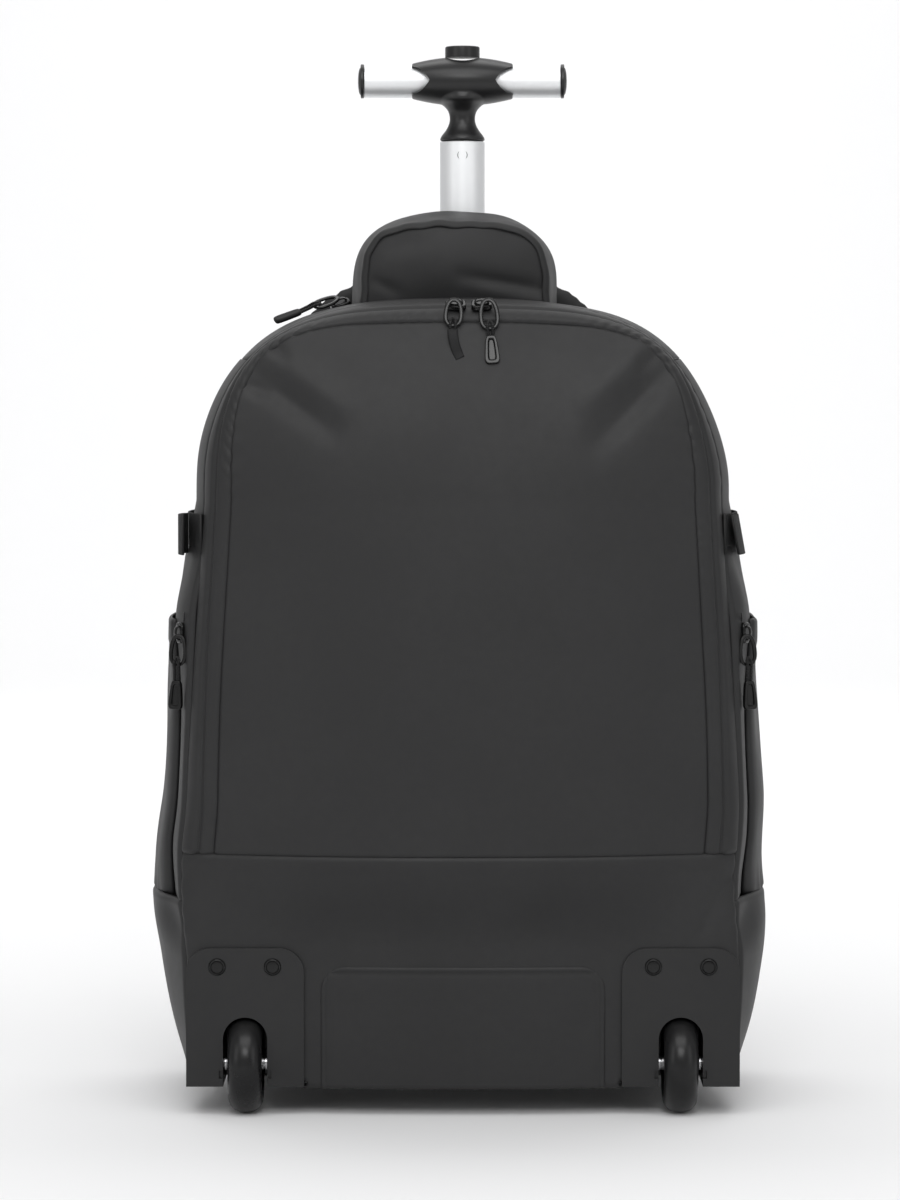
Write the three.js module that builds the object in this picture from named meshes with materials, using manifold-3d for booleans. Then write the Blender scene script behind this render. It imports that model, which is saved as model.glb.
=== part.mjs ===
// A wheeled backpack standing on two wheels and two rear feet, its single-tube lift handle part way up.
// Millimetres. X runs across the bag, Y from the front panel to the wearer's back, Z up from the floor.
import * as THREE from "three";
import { mergeVertices } from "three/addons/utils/BufferGeometryUtils.js";
import Module from "manifold-3d";

const wasm = await Module();
wasm.setup();

// Soft body
const baseHeight = 18; // ground clearance under the body
const cornerSeamHeight = 130; // lower side panels end here
const beltHeight = 160; // seam between the kick panel and the front panel
const shoulderHeight = 374; // the arch starts here
const bodyTop = 499;
const bodyHalfWidth = 176; // side panels at their widest
const bodyDepth = 184; // from the wheel guards' front face to the back seam
const fabricWall = 2;
const seamGap = 0.8; // between neighbouring panels
const seatGap = 0.3; // between a piece and what it rests on
const facetGap = 1.2; // between a flat strip and the curved panel that it lies on
const frontCrown = 20; // how far the stuffed front panel swells past its seam
const kickCrown = 5;

// Side pockets and lower side panels
const pocketTop = 300;
const pocketMouthStand = 6; // beyond the side panels at their widest
const pocketFloorStand = 15;
const pocketFront = 44; // where the pocket's zip runs, behind the guards' face
const pocketRear = 13; // in front of the back seam

// Back panel and shoulder straps
const backRise = 31; // the back panel's arch stands this far above the roof
const backPad = 9;
const backLean = -7; // the soft arch behind the hood leans to one side
const backTopInset = 19; // the top of the back panel leans in
const strapPad = 11;
const strapGap = 1;
const strapWidth = 58;
const strapBow = 11; // clear space for the arm behind a strap
const strapWebWidth = 25;
const strapWebThickness = 2;
const strapWebFoot = 45; // above the base

// Hood over the stored handle
const hoodHalfWidth = 57;
const hoodHeight = 47; // above the roof
const hoodBase = 8; // below the roof's highest line
const hoodAhead = 65; // from the lift tube forward to the hood's front
const hoodReach = 42; // how far the hood's band runs back
const hoodRise = 8; // how much higher the band's rear edge stands
const hoodFlare = 6.5; // how much wider the band's rear edge is
const hoodLean = -5; // the soft hood leans to one side
const hoodSwell = 5;

// Lift handle
const handleInset = 35; // in front of the back seam
const liftTubeDiameter = 28.5;
const liftTubeOut = 101.5; // how far the lift tube stands out of the roof
const liftTubeLength = 466;
const liftTubeWall = 1.5;
const gripRise = 38.5; // from the lift tube's end to the cross tube's middle
const crossTubeDiameter = 21;
const crossTubeLength = 125;
const endCapRim = 2.2;
const endCapDome = 1.6;
const hubHalfLength = 32.2;
const hubHeight = 32;
const hubDepth = 38;
const hubEndHeight = 24.3;
const hubNotchRadius = 11.1;
const hubNotchDepth = 11.5;
const neckDiameter = 16.2;
const neckPlug = 14; // how deep the neck's plug sits in the lift tube
const buttonDiameter = 22;
const buttonRise = 22; // its top above the cross tube's middle
const buttonTravel = 4;
const buttonGap = 0.6;
const gripFit = 0.35; // between the hub's bore and the cross tube
const slideGap = 0.5; // between the lift tube and its guides
const guideWall = 2;
const collarFlange = 4;
const collarThickness = 4;
const tubeScrewDiameter = 5;
const tubeScrewDrop = 9;
const tubeScrewGap = 0.2;

// Wheels and guards
const wheelRadius = 30.5;
const wheelWidth = 21;
const wheelInset = 43; // from the body's widest to a wheel's middle
const axleY = 15; // behind the guards' front face
const coreRadius = 20;
const tyreCrown = 9.3; // how far the tread's round stands out from its shoulders
const hubWidth = 18;
const axleDiameter = 6;
const axleGap = 0.4;
const axleHead = 2.5; // how far the axle stands out of the well
const spacerDiameter = 9;
const guardWidth = 72;
const guardHeight = 85;
const guardThickness = 3;
const guardCorner = 15;
const guardReach = 72; // how far the guard's sole runs back
const wheelWellGap = 3; // beside and around the wheel
const wellWall = 2.2;
const notchWidth = 2.5;
const notchHeight = 5;
const rivetDiameter = 10;
const rivetSpacing = 33.8;
const rivetDrop = 11.5; // below the guard's top edge
const rivetHead = 1.2;

// Rear feet
const footWidth = 34;
const footDepth = 16;
const footSideInset = 56; // from the body's widest to a foot's middle
const footInset = 8; // in front of the back seam
const footChamfer = 3;

// Kick panel patch
const patchGap = 11; // between the patch and a guard
const patchTop = 91;
const patchCorner = 14;
const patchThickness = 1.2;

// Compression straps, each with a loop of its own webbing
const webWidth = 25;
const webThickness = 1.6;
const webHeight = 354.5; // middle of the webbing
const webStart = 26; // behind the guards' face
const webRearInset = 16; // in front of the back seam
const loopStart = 33;
const loopLength = 34;
const loopStandLeft = 7; // the left strap's loop stands further out
const loopStandRight = 0.5;

// Zips
const zipWidth = 6;
const zipThickness = 1;
const sliderLength = 13;
const sliderWidth = 9;
const sliderThickness = 4;
const ringWidth = 13;
const ringLength = 20;
const ringBar = 2.2;
const ringThickness = 1.8;
const cordThickness = 2;
const tabLength = 18;
const tabTopWidth = 6.5;
const tabEndWidth = 10;
const tabThickness = 3;
const ringOverlap = 3; // how far the ring reaches up over its slider
const pullGap = 1.5; // between a hanging pull and the front panel
const zipPlace = 0.42; // share of the front band's turn at which its zip lies
const sidePullCord = 9;

// Worked out from the sizes above
const backTop = bodyTop + backRise;
const hoodTop = bodyTop + hoodHeight;
const handleY = bodyDepth - handleInset;
const hoodFront = handleY - hoodAhead;
const liftTubeTop = bodyTop + liftTubeOut;
const gripHeight = liftTubeTop + gripRise;
const buttonTop = gripHeight + buttonRise;
const guardTop = baseHeight + guardHeight;
const wheelTrack = 2 * (bodyHalfWidth - wheelInset); // between the wheels' middles
const guardInner = (wheelTrack - guardWidth) / 2;
const patchWidth = 2 * (guardInner - patchGap);
const footSpacing = 2 * (bodyHalfWidth - footSideInset);
const pocketMouthHalfWidth = bodyHalfWidth + pocketMouthStand;
const pocketFloorHalfWidth = bodyHalfWidth + pocketFloorStand;
const slotHalf = wheelWidth / 2 + wheelWellGap;
const wellRadius = wheelRadius + wheelWellGap;
const guideInner = liftTubeDiameter / 2 + slideGap;
const guideOuter = guideInner + guideWall;
const plugRadius = liftTubeDiameter / 2 - liftTubeWall - slideGap;

// Half widths of the four rings that the body's panels are stretched between, from the front panel round to
// the back, as shares of bodyHalfWidth. height runs from the base at 0 to the shoulder at 1.
const HALVES = [
  { height: 0, seam: 0.849, edge: 0.932, side: 0.96, rear: 0.86 },
  { height: 0.09, seam: 0.849, edge: 0.949, side: 0.98, rear: 0.9 },
  { height: 0.23, seam: 0.849, edge: 0.96, side: 1, rear: 0.926 },
  { height: 0.4, seam: 0.849, edge: 0.961, side: 0.98, rear: 0.943 },
  { height: 0.68, seam: 0.838, edge: 0.935, side: 0.965, rear: 0.909 },
  { height: 0.8, seam: 0.825, edge: 0.92, side: 1, rear: 0.898 },
  { height: 0.9, seam: 0.813, edge: 0.905, side: 0.977, rear: 0.886 },
  { height: 1, seam: 0.801, edge: 0.892, side: 0.935, rear: 0.864 },
];

// Depths of the same rings, as shares of bodyDepth.
const DEPTHS = [
  { height: 0, seam: 0.022, edge: 0.033, side: 0.52, rear: 0.96 },
  { height: 0.09, seam: 0.022, edge: 0.033, side: 0.52, rear: 0.985 },
  { height: 0.23, seam: 0.022, edge: 0.046, side: 0.52, rear: 1 },
  { height: 0.4, seam: 0.022, edge: 0.087, side: 0.52, rear: 1 },
  { height: 0.68, seam: 0.033, edge: 0.12, side: 0.52, rear: 1 },
  { height: 0.8, seam: 0.04, edge: 0.136, side: 0.52, rear: 0.985 },
  { height: 0.9, seam: 0.047, edge: 0.15, side: 0.52, rear: 0.97 },
  { height: 1, seam: 0.054, edge: 0.163, side: 0.52, rear: 0.957 },
];

// How each ring goes over the top: top is a share of bodyTop, topY of bodyDepth, and square says how square
// its arch is, where 2 is an ellipse.
const RINGS = {
  seam: { name: "seam", top: 0.97, topY: 0.12, square: 4.1 },
  edge: { name: "edge", top: 0.996, topY: 0.272, square: 2.75 },
  side: { name: "side", top: 1, topY: 0.57, square: 2.7 },
  rear: { name: "rear", top: 1, topY: 0.926, square: 2.5 },
};

// Lower side panel: half widths are shares of pocketFloorHalfWidth, height runs from the base to its seam.
const LOWER_SIDE = [
  { height: 0, half: 0.865 },
  { height: 0.3, half: 0.935 },
  { height: 0.55, half: 0.972 },
  { height: 0.85, half: 0.998 },
  { height: 1, half: 1 },
];

// Side pocket: share of the way from the floor's half width to the mouth's.
const POCKET = [
  { height: 0, narrowing: 0 },
  { height: 0.25, narrowing: 0.22 },
  { height: 0.6, narrowing: 0.62 },
  { height: 0.8, narrowing: 0.85 },
  { height: 1, narrowing: 1 },
];

// Shoulder strap's middle line: across is a share of bodyHalfWidth, up of backTop, bow of strapBow.
const STRAP = [
  { up: 0.9, across: 0.25, bow: 0 },
  { up: 0.82, across: 0.32, bow: 0.5 },
  { up: 0.72, across: 0.42, bow: 0.9 },
  { up: 0.6, across: 0.53, bow: 1 },
  { up: 0.48, across: 0.56, bow: 0.7 },
  { up: 0.36, across: 0.53, bow: 0 },
];

// The two pulls that hang from the front zip: place across the bag, roll in degrees, and cord length.
const FRONT_PULLS = [
  { name: "front_a", across: -6, roll: 1, cord: 2.5 },
  { name: "front_b", across: 11.5, roll: -3, cord: 4 },
];

const CLOTH = { color: 0x2f2f31, roughness: 0.72, metalness: 0 };
const LINING = { color: 0x252527, roughness: 0.85, metalness: 0 };
const WEBBING = { color: 0x1d1d1f, roughness: 0.8, metalness: 0 };
const PLASTIC = { color: 0x2b2b2d, roughness: 0.55, metalness: 0 };
const RUBBER = { color: 0x161617, roughness: 0.3, metalness: 0 };
const ALUMINIUM = { color: 0xd6d8da, roughness: 0.32, metalness: 1 };
const STEEL = { color: 0xc4c6c8, roughness: 0.25, metalness: 1 };
const DARK_METAL = { color: 0x17171a, roughness: 0.3, metalness: 0.8 };

// How finely round things and panels are faceted
const ROUND = 20;
const FINE_ROUND = 24;
const COARSE_ROUND = 14;
const ARCH_ANGLES = [0, 13, 26, 38, 50, 62, 74, 84];
const TOP_PANEL_FROM = 38; // the side panels reach up to this angle of the arch
const GUSSET_SHARES = [0.012, 0.2, 0.42, 0.65, 0.85, 0.99];
const LOWER_SIDE_SHARES = [0.012, 0.16, 0.34, 0.5, 0.68, 0.86, 0.99];

const SIDES = [["right", 1], ["left", -1]];
const backpack = new THREE.Group();
const rightAngle = Math.PI / 2;
const lerp = THREE.MathUtils.lerp;
const at = (x, y, z) => new THREE.Vector3(x, y, z);
const steps = (count) => Array.from({ length: count + 1 }, (unused, index) => index / count);
const mirrored = (point) => at(-point.x, point.y, point.z);
const mirroredRows = (rows) => rows.map((row) => row.map(mirrored));
const moved = (rows, shift) => rows.map((row) => row.map((point) => point.clone().add(shift(point))));

// Straight lines between a table's rows, which stand in rising order of key.
function read(table, key, value, column) {
  const last = table.length - 1;
  const found = table.findIndex((row) => row[key] >= value);
  const index = found < 0 ? last : Math.max(found, 1);
  const low = table[index - 1];
  const high = table[index];
  const share = THREE.MathUtils.clamp((value - low[key]) / (high[key] - low[key]), 0, 1);
  return lerp(low[column], high[column], share);
}

// Half width and depth of a ring at a height up to the shoulder.
const upSide = (z) => (z - baseHeight) / (shoulderHeight - baseHeight);
const ringHalf = (ring, z) => bodyHalfWidth * read(HALVES, "height", upSide(z), ring.name);
const ringDepth = (ring, z) => bodyDepth * read(DEPTHS, "height", upSide(z), ring.name);

// A point of a ring. A station is a height on the bag's side or an angle in degrees round its arch.
function ringPoint(ring, station) {
  if (station.z !== undefined) {
    return at(ringHalf(ring, station.z), ringDepth(ring, station.z), station.z);
  }
  const angle = THREE.MathUtils.degToRad(station.angle);
  const across = Math.max(Math.cos(angle), 0) ** (2 / ring.square);
  const up = Math.sin(angle) ** (2 / ring.square);
  const z = lerp(shoulderHeight, ring.top * bodyTop, up);
  const y = lerp(ringDepth(ring, shoulderHeight), ring.topY * bodyDepth, up * up);
  return at(ringHalf(ring, shoulderHeight) * across, y, z);
}

const sideStations = (low, high, count) => steps(count).map((share) => ({ z: lerp(low, high, share) }));
const archStations = (angles) => angles.map((angle) => ({ angle }));

function bezier(a, control, b, share) {
  const rest = 1 - share;
  return a.clone().multiplyScalar(rest * rest)
    .addScaledVector(control, 2 * rest * share)
    .addScaledVector(b, share * share);
}

// The curve through three points, the middle one halfway along.
function through(a, middle, b, share) {
  const control = middle.clone().multiplyScalar(2).addScaledVector(a, -0.5).addScaledVector(b, -0.5);
  return bezier(a, control, b, share);
}

// The direction from the skin into the bag: that of a rounded box, so that neighbouring walls keep apart.
function inward(point) {
  const across = point.x / bodyHalfWidth;
  const along = point.y / bodyDepth * 2 - 1;
  const middle = (baseHeight + bodyTop) / 2;
  const up = (point.z - middle) / (bodyTop - middle);
  return at(-(across ** 3), -(along ** 3), -(up ** 5)).normalize();
}

// One closed solid between two grids of points with the same rows and columns.
function closedGrid(outer, inner) {
  const rows = outer.length;
  const columns = outer[0].length;
  const points = [...outer.flat(), ...inner.flat()];
  const faces = [];
  const front = (row, column) => row * columns + column;
  const back = (row, column) => rows * columns + front(row, column);
  const quad = (a, b, c, d) => faces.push([a, b, c], [a, c, d]);
  const lastRow = rows - 1;
  const lastColumn = columns - 1;
  for (let row = 0; row < lastRow; row += 1) {
    const next = row + 1;
    for (let column = 0; column < lastColumn; column += 1) {
      quad(front(row, column), front(row, column + 1), front(next, column + 1), front(next, column));
      quad(back(row, column), back(next, column), back(next, column + 1), back(row, column + 1));
    }
    quad(front(row, 0), front(next, 0), back(next, 0), back(row, 0));
    quad(front(row, lastColumn), back(row, lastColumn), back(next, lastColumn), front(next, lastColumn));
  }
  for (let column = 0; column < lastColumn; column += 1) {
    const next = column + 1;
    quad(front(0, column), back(0, column), back(0, next), front(0, next));
    quad(front(lastRow, column), front(lastRow, next), back(lastRow, next), back(lastRow, column));
  }
  return facingOut(points, faces);
}

// Triangles as a geometry, turned round if they face inwards.
function facingOut(points, faces) {
  const volume = faces.reduce(
    (sum, [a, b, c]) => sum + points[a].dot(points[b].clone().cross(points[c])), 0);
  const turned = volume < 0 ? faces.map(([a, b, c]) => [a, c, b]) : faces;
  return new THREE.BufferGeometry().setFromPoints(points).setIndex(turned.flat());
}

// A wall of even thickness behind a grid of skin points.
const skin = (rows, wall, direction = inward) => closedGrid(
  rows, moved(rows, (point) => direction(point).multiplyScalar(wall)));

function solidOf(geometry) {
  const bare = geometry.clone();
  bare.deleteAttribute("normal");
  bare.deleteAttribute("uv");
  const merged = mergeVertices(bare, 1e-4);
  const vertProperties = new Float32Array(merged.attributes.position.array);
  const triVerts = new Uint32Array(merged.index.array);
  return new wasm.Manifold(new wasm.Mesh({ numProp: 3, vertProperties, triVerts }));
}

function geometryOf(solid) {
  const mesh = solid.getMesh();
  const positions = new THREE.BufferAttribute(new Float32Array(mesh.vertProperties), 3);
  const corners = new THREE.BufferAttribute(new Uint32Array(mesh.triVerts), 1);
  return new THREE.BufferGeometry().setAttribute("position", positions).setIndex(corners);
}

const join = (...shapes) => geometryOf(shapes.map(solidOf).reduce((sum, solid) => sum.add(solid)));
const common = (a, b) => geometryOf(solidOf(a).intersect(solidOf(b)));
const cut = (shape, ...tools) => geometryOf(
  tools.map(solidOf).reduce((rest, tool) => rest.subtract(tool), solidOf(shape)));

function add(name, finish, geometry, parent = backpack) {
  const mesh = new THREE.Mesh(geometry, new THREE.MeshStandardMaterial(finish));
  mesh.name = name;
  parent.add(mesh);
  return mesh;
}

function block(low, high) {
  const size = high.clone().sub(low);
  const middle = low.clone().add(high).multiplyScalar(0.5);
  return new THREE.BoxGeometry(size.x, size.y, size.z).translate(middle.x, middle.y, middle.z);
}

// Turned solids. A profile's pairs are radius and place along the axis.
const turnedY = (profile, sides = ROUND) => new THREE.LatheGeometry(
  profile.map(([radius, along]) => new THREE.Vector2(radius, along)), sides);
const turnedZ = (profile, sides) => turnedY(profile, sides).rotateX(rightAngle);
const turnedX = (profile, sides) => turnedY(profile, sides).rotateZ(-rightAngle);
const rod = (radius, low, high) => [[0, low], [radius, low], [radius, high], [0, high]];
const pipe = (outer, inner, low, high) => [
  [inner, low], [outer, low], [outer, high], [inner, high], [inner, low]];

// A flat outline in X and Z, given thickness towards +Y.
function plate(shape, front, thickness, curveSegments = 6) {
  const flat = new THREE.ExtrudeGeometry(shape, { depth: thickness, bevelEnabled: false, curveSegments });
  return flat.rotateX(rightAngle).translate(0, front + thickness, 0);
}

function roundedTop(left, right, bottom, top, radius) {
  const shape = new THREE.Shape();
  shape.moveTo(left, bottom);
  shape.lineTo(right, bottom);
  shape.lineTo(right, top - radius);
  shape.absarc(right - radius, top - radius, radius, 0, rightAngle);
  shape.lineTo(left + radius, top);
  shape.absarc(left + radius, top - radius, radius, rightAngle, 2 * rightAngle);
  shape.closePath();
  return shape;
}

// The front skin's depth inside the seam ring. share runs across from the middle at 0 to the seam at 1.
function frontDepth(share, seamDepth, z) {
  const seamTop = RINGS.seam.top * bodyTop;
  const fullestShare = 0.22; // the stuffing sits low in the panel
  const fullest = lerp(beltHeight, seamTop, fullestShare);
  const up = Math.abs(z - fullest) / (seamTop - fullest);
  const swell = frontCrown * Math.max(1 - up ** 3, 0);
  return seamDepth - swell * (1 - Math.abs(share) ** 2.4);
}

// The front band leaves the front panel's seam sideways, then turns back to the side panels.
function bandCurve(station, share) {
  const seam = ringPoint(RINGS.seam, station);
  const edge = ringPoint(RINGS.edge, station);
  const sideways = 0.8;
  const backwards = 0.1;
  const corner = seam.clone().lerp(edge, sideways);
  corner.y = lerp(seam.y, edge.y, backwards);
  return bezier(seam, corner, edge, share);
}

const frontStations = [
  ...sideStations(beltHeight + seamGap / 2, shoulderHeight, 4).slice(0, -1),
  ...archStations(ARCH_ANGLES),
];

// Rows from one side of the bag over its top to the other.
function overTheTop(stations, curve, shares) {
  const right = stations.map((station) => shares.map((share) => curve(station, share)));
  return [...right, ...mirroredRows(right).reverse()];
}

function buildFrontPanel() {
  const across = steps(10).map((share) => Math.sin((share - 0.5) * Math.PI));
  const rows = frontStations.map((station) => {
    const seam = ringPoint(RINGS.seam, station);
    const half = seam.x - seamGap / 2;
    const z = station.z === undefined ? seam.z - seamGap / 2 : seam.z;
    return across.map((share) => at(half * share, frontDepth(share, seam.y, z), z));
  });
  add("front_panel", CLOTH, skin(rows, fabricWall));
}

function buildFrontBand() {
  const margin = 0.03;
  const shares = [margin, 0.28, 0.52, 0.76, 1 - margin];
  add("front_band", CLOTH, skin(overTheTop(frontStations, bandCurve, shares), fabricWall));
}

// The zip lies proud on the band, in the middle of its turn.
function buildFrontZip() {
  const belt = { z: beltHeight };
  const bandWidth = ringPoint(RINGS.edge, belt).distanceTo(ringPoint(RINGS.seam, belt));
  const halfShare = zipWidth / 2 / bandWidth;
  const flat = overTheTop(frontStations, bandCurve, [zipPlace - halfShare, zipPlace + halfShare]);
  const proud = moved(flat, (point) => inward(point).multiplyScalar(-(zipThickness + seatGap)));
  add("front_zip", WEBBING, skin(proud, zipThickness));
}

// The kick panel's skin: crowned between the guards, flat behind them, and rising to the belt seam.
function kickDepth(x, z) {
  const seam = ringPoint(RINGS.seam, { z: beltHeight });
  const edge = ringPoint(RINGS.edge, { z: beltHeight });
  const low = ringPoint(RINGS.edge, { z: Math.min(z, guardTop) });
  const across = Math.abs(x);
  const belt = across < seam.x
    ? frontDepth(across / seam.x, seam.y, beltHeight)
    : lerp(seam.y, edge.y, ((across - seam.x) / (edge.x - seam.x)) ** 1.8);
  const behindGuard = guardThickness + seatGap;
  const corner = Math.max((across - seam.x) / (low.x - seam.x), 0) ** 2;
  const crown = kickCrown * Math.max(1 - (across / guardInner) ** 2, 0);
  const flat = behindGuard + Math.max(low.y - behindGuard, 0) * corner - crown;
  return lerp(flat, belt, THREE.MathUtils.smoothstep(z, guardTop, beltHeight));
}

function buildKickPanel(wells) {
  const heights = [
    ...[0, 0.5].map((share) => lerp(baseHeight, guardTop, share)),
    ...[0, 0.3, 0.55, 0.8].map((share) => lerp(guardTop, beltHeight, share)),
    beltHeight - seamGap / 2,
  ];
  const besideGuard = guardInner - 1;
  const seamHalf = ringPoint(RINGS.seam, { z: beltHeight }).x;
  const rows = heights.map((z) => {
    const half = ringPoint(RINGS.edge, { z }).x - seamGap;
    const between = [0.3, 0.58, 0.82].map((share) => share * guardInner);
    const behindGuard = [besideGuard, (guardInner + seamHalf) / 2, seamHalf];
    const right = [...between, ...behindGuard, (seamHalf + half) / 2, half];
    const across = [...right.slice().reverse().map((x) => -x), 0, ...right];
    return across.map((x) => at(x, kickDepth(x, z), z));
  });
  add("kick_panel", CLOTH, cut(skin(rows, fabricWall), ...wells));
}

function buildKickPatch() {
  const half = patchWidth / 2;
  const margin = 1;
  const outline = roundedTop(-half, half, baseHeight, patchTop, patchCorner);
  const across = steps(12).map((share) => (share * 2 - 1) * (half + margin));
  const rows = [baseHeight - margin, patchTop + margin].map((z) => across.map(
    (x) => at(x, kickDepth(x, z) - seatGap - patchThickness, z)));
  const sheet = skin(rows, patchThickness, () => at(0, 1, 0));
  const cutter = plate(outline, -4 * kickCrown, 8 * kickCrown, 4);
  add("kick_patch", CLOTH, common(sheet, cutter));
}

// The gusset's skin from the front edge over its widest ring to the back seam.
const gussetCurve = (station, share) => through(
  ringPoint(RINGS.edge, station), ringPoint(RINGS.side, station), ringPoint(RINGS.rear, station), share);

const sidePanelHeights = steps(8).map((share) => lerp(cornerSeamHeight + seamGap, shoulderHeight, share));

function buildSidePanels() {
  const topStation = TOP_PANEL_FROM - 0.4; // leaves the seam's gap under the top panel
  const angles = [...ARCH_ANGLES.filter((angle) => angle < TOP_PANEL_FROM), topStation];
  const stations = [...sidePanelHeights.slice(0, -1).map((z) => ({ z })), ...archStations(angles)];
  const rows = stations.map((station) => GUSSET_SHARES.map((share) => gussetCurve(station, share)));
  add("side_panel_right", CLOTH, skin(rows, fabricWall));
  add("side_panel_left", CLOTH, skin(mirroredRows(rows), fabricWall));
}

const roofStations = archStations(ARCH_ANGLES.filter((angle) => angle >= TOP_PANEL_FROM));
const roofRows = overTheTop(roofStations, gussetCurve, GUSSET_SHARES);

function buildTopPanel() {
  const hole = turnedZ(rod(guideOuter + seatGap, bodyTop - 20, bodyTop + 20)).translate(0, handleY, 0);
  add("top_panel", CLOTH, cut(skin(roofRows, fabricWall), hole));
}

function lowerSideHalf(z) {
  const height = (z - baseHeight) / (cornerSeamHeight - baseHeight);
  return pocketFloorHalfWidth * read(LOWER_SIDE, "height", height, "half");
}

function lowerSideCurve(z, share) {
  const front = ringPoint(RINGS.edge, { z });
  const rear = ringPoint(RINGS.rear, { z });
  return through(front, at(lowerSideHalf(z), (front.y + rear.y) / 2, z), rear, share);
}

function buildLowerSides(wells) {
  const heights = steps(5).map((share) => lerp(baseHeight, cornerSeamHeight, share));
  const rows = heights.map((z) => LOWER_SIDE_SHARES.map((share) => lowerSideCurve(z, share)));
  const turnIn = 1.4; // how strongly the wall's inner face turns with the corners
  for (const [name, side] of SIDES) {
    const inside = (point) => at(-side, (0.5 - point.y / bodyDepth) * turnIn, 0).normalize();
    const panel = skin(side > 0 ? rows : mirroredRows(rows), fabricWall, inside);
    add(`lower_side_${name}`, CLOTH, cut(panel, ...wells));
  }
}

function pocketHalf(z) {
  const height = (z - cornerSeamHeight) / (pocketTop - cornerSeamHeight);
  return lerp(pocketFloorHalfWidth, pocketMouthHalfWidth, read(POCKET, "height", height, "narrowing"));
}

// How far out the side panel's faceted skin stands at a given height and depth.
function gussetHalfAt(z, y) {
  const above = Math.max(sidePanelHeights.findIndex((height) => height >= z), 1);
  const low = sidePanelHeights[above - 1];
  const high = sidePanelHeights[above];
  const halves = [low, high].map((height) => {
    const points = GUSSET_SHARES.map((share) => gussetCurve({ z: height }, share));
    const behind = Math.min(Math.max(points.findIndex((point) => point.y >= y), 1), points.length - 1);
    const [near, far] = [points[behind - 1], points[behind]];
    return lerp(near.x, far.x, (y - near.y) / (far.y - near.y));
  });
  return lerp(halves[0], halves[1], (z - low) / (high - low));
}

// A flat strip on a side panel, from rows of height and depth pairs, its outer face lift above the skin.
function sideStrip(side, pairs, lift, thickness) {
  const rows = pairs.map((row) => row.map(([z, y]) => at(side * (gussetHalfAt(z, y) + lift), y, z)));
  return skin(rows, thickness, () => at(-side, 0, 0));
}

const sideZipY = pocketFront - zipWidth;

function buildSidePockets() {
  const heights = steps(6).map((share) => lerp(cornerSeamHeight + seamGap, pocketTop, share));
  const rows = heights.map((z) => [0, 0.06, 0.25, 0.5, 0.75, 0.94, 1].map((share) => {
    const y = lerp(pocketFront, bodyDepth - pocketRear, share);
    const sewn = gussetHalfAt(z, y) + fabricWall + 2 * seatGap;
    const swell = Math.sin(share * Math.PI) ** 0.45;
    return at(lerp(sewn, Math.max(pocketHalf(z), sewn), swell), y, z);
  }));
  const zip = heights.map((z) => [-0.5, 0.5].map((edge) => [z, sideZipY + edge * zipWidth]));
  for (const [name, side] of SIDES) {
    const wall = side > 0 ? rows : mirroredRows(rows);
    add(`side_pocket_${name}`, CLOTH, skin(wall, fabricWall, () => at(-side, 0, 0)));
    add(`side_zip_${name}`, WEBBING, sideStrip(side, zip, zipThickness + facetGap, zipThickness));
  }
}

function buildBasePanel(wells) {
  const inset = fabricWall + 2 * seamGap;
  const front = guardThickness + fabricWall + seamGap;
  const outline = [0.04, 0.25, 0.5, 0.75, 0.98].map((share) => lowerSideCurve(baseHeight, share));
  const right = outline.map((point, index) => [point.x - inset, index ? point.y : front]);
  const left = right.map(([x, y]) => [-x, y]).reverse();
  const shape = new THREE.Shape([...left, ...right].map(([x, y]) => new THREE.Vector2(x, y)));
  const floor = new THREE.ExtrudeGeometry(shape, { depth: fabricWall, bevelEnabled: false });
  add("base_panel", LINING, cut(floor.translate(0, 0, baseHeight), ...wells));
}

const backHalf = (z) => ringHalf(RINGS.rear, z);

// The back seam's depth, which leans in above the shoulder.
function backDepth(z) {
  const up = Math.max((z - shoulderHeight) / (backTop - shoulderHeight), 0);
  return lerp(ringDepth(RINGS.rear, z), bodyDepth - backTopInset, up ** 3);
}

// The padded back follows the side sections, then a pointed arch that stands above the roof.
function buildBackPanel() {
  const sideHeights = steps(7).map((share) => lerp(baseHeight, shoulderHeight, share)).slice(0, -1);
  const point = 2 / 1.87; // the arch is a little more pointed than an ellipse
  const edges = [
    ...sideHeights.map((z) => [backHalf(z), z]),
    ...[0, 15, 30, 45, 60, 75, 85].map((degrees) => {
      const angle = THREE.MathUtils.degToRad(degrees);
      const half = backHalf(shoulderHeight) * Math.cos(angle) ** point;
      return [half, lerp(shoulderHeight, backTop, Math.sin(angle) ** point)];
    }),
  ];
  const lean = (z) => backLean * Math.max((z - shoulderHeight) / (backTop - shoulderHeight), 0);
  const columns = [-1, -0.93, -0.5, 0, 0.5, 0.93, 1];
  const rimShare = 0.45; // of the pad's thickness
  const face = (thickness) => edges.map(([half, z], row) => columns.map((share) => {
    const rim = Math.abs(share) === 1 || row === 0 || row === edges.length - 1;
    return at(lean(z) + half * share, backDepth(z) + seamGap + thickness * (rim ? rimShare : 1), z);
  }));
  add("back_panel", CLOTH, closedGrid(face(0), face(backPad)));
}

// A flat band whose near face follows a line, with thinner edges.
function band(line, width, thickness, samples) {
  const curve = new THREE.CatmullRomCurve3(line, false, "centripetal");
  const outward = at(0, 1, 0);
  const rows = steps(samples).map((share) => {
    const across = curve.getTangent(share).cross(outward).normalize().multiplyScalar(width);
    return [-0.5, -0.34, 0.34, 0.5].map((edge) => curve.getPoint(share).addScaledVector(across, edge));
  });
  const fullness = [0.45, 1, 1, 0.45];
  const far = rows.map((row) => row.map(
    (point, column) => point.clone().addScaledVector(outward, thickness * fullness[column])));
  return closedGrid(rows, far);
}

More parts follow.
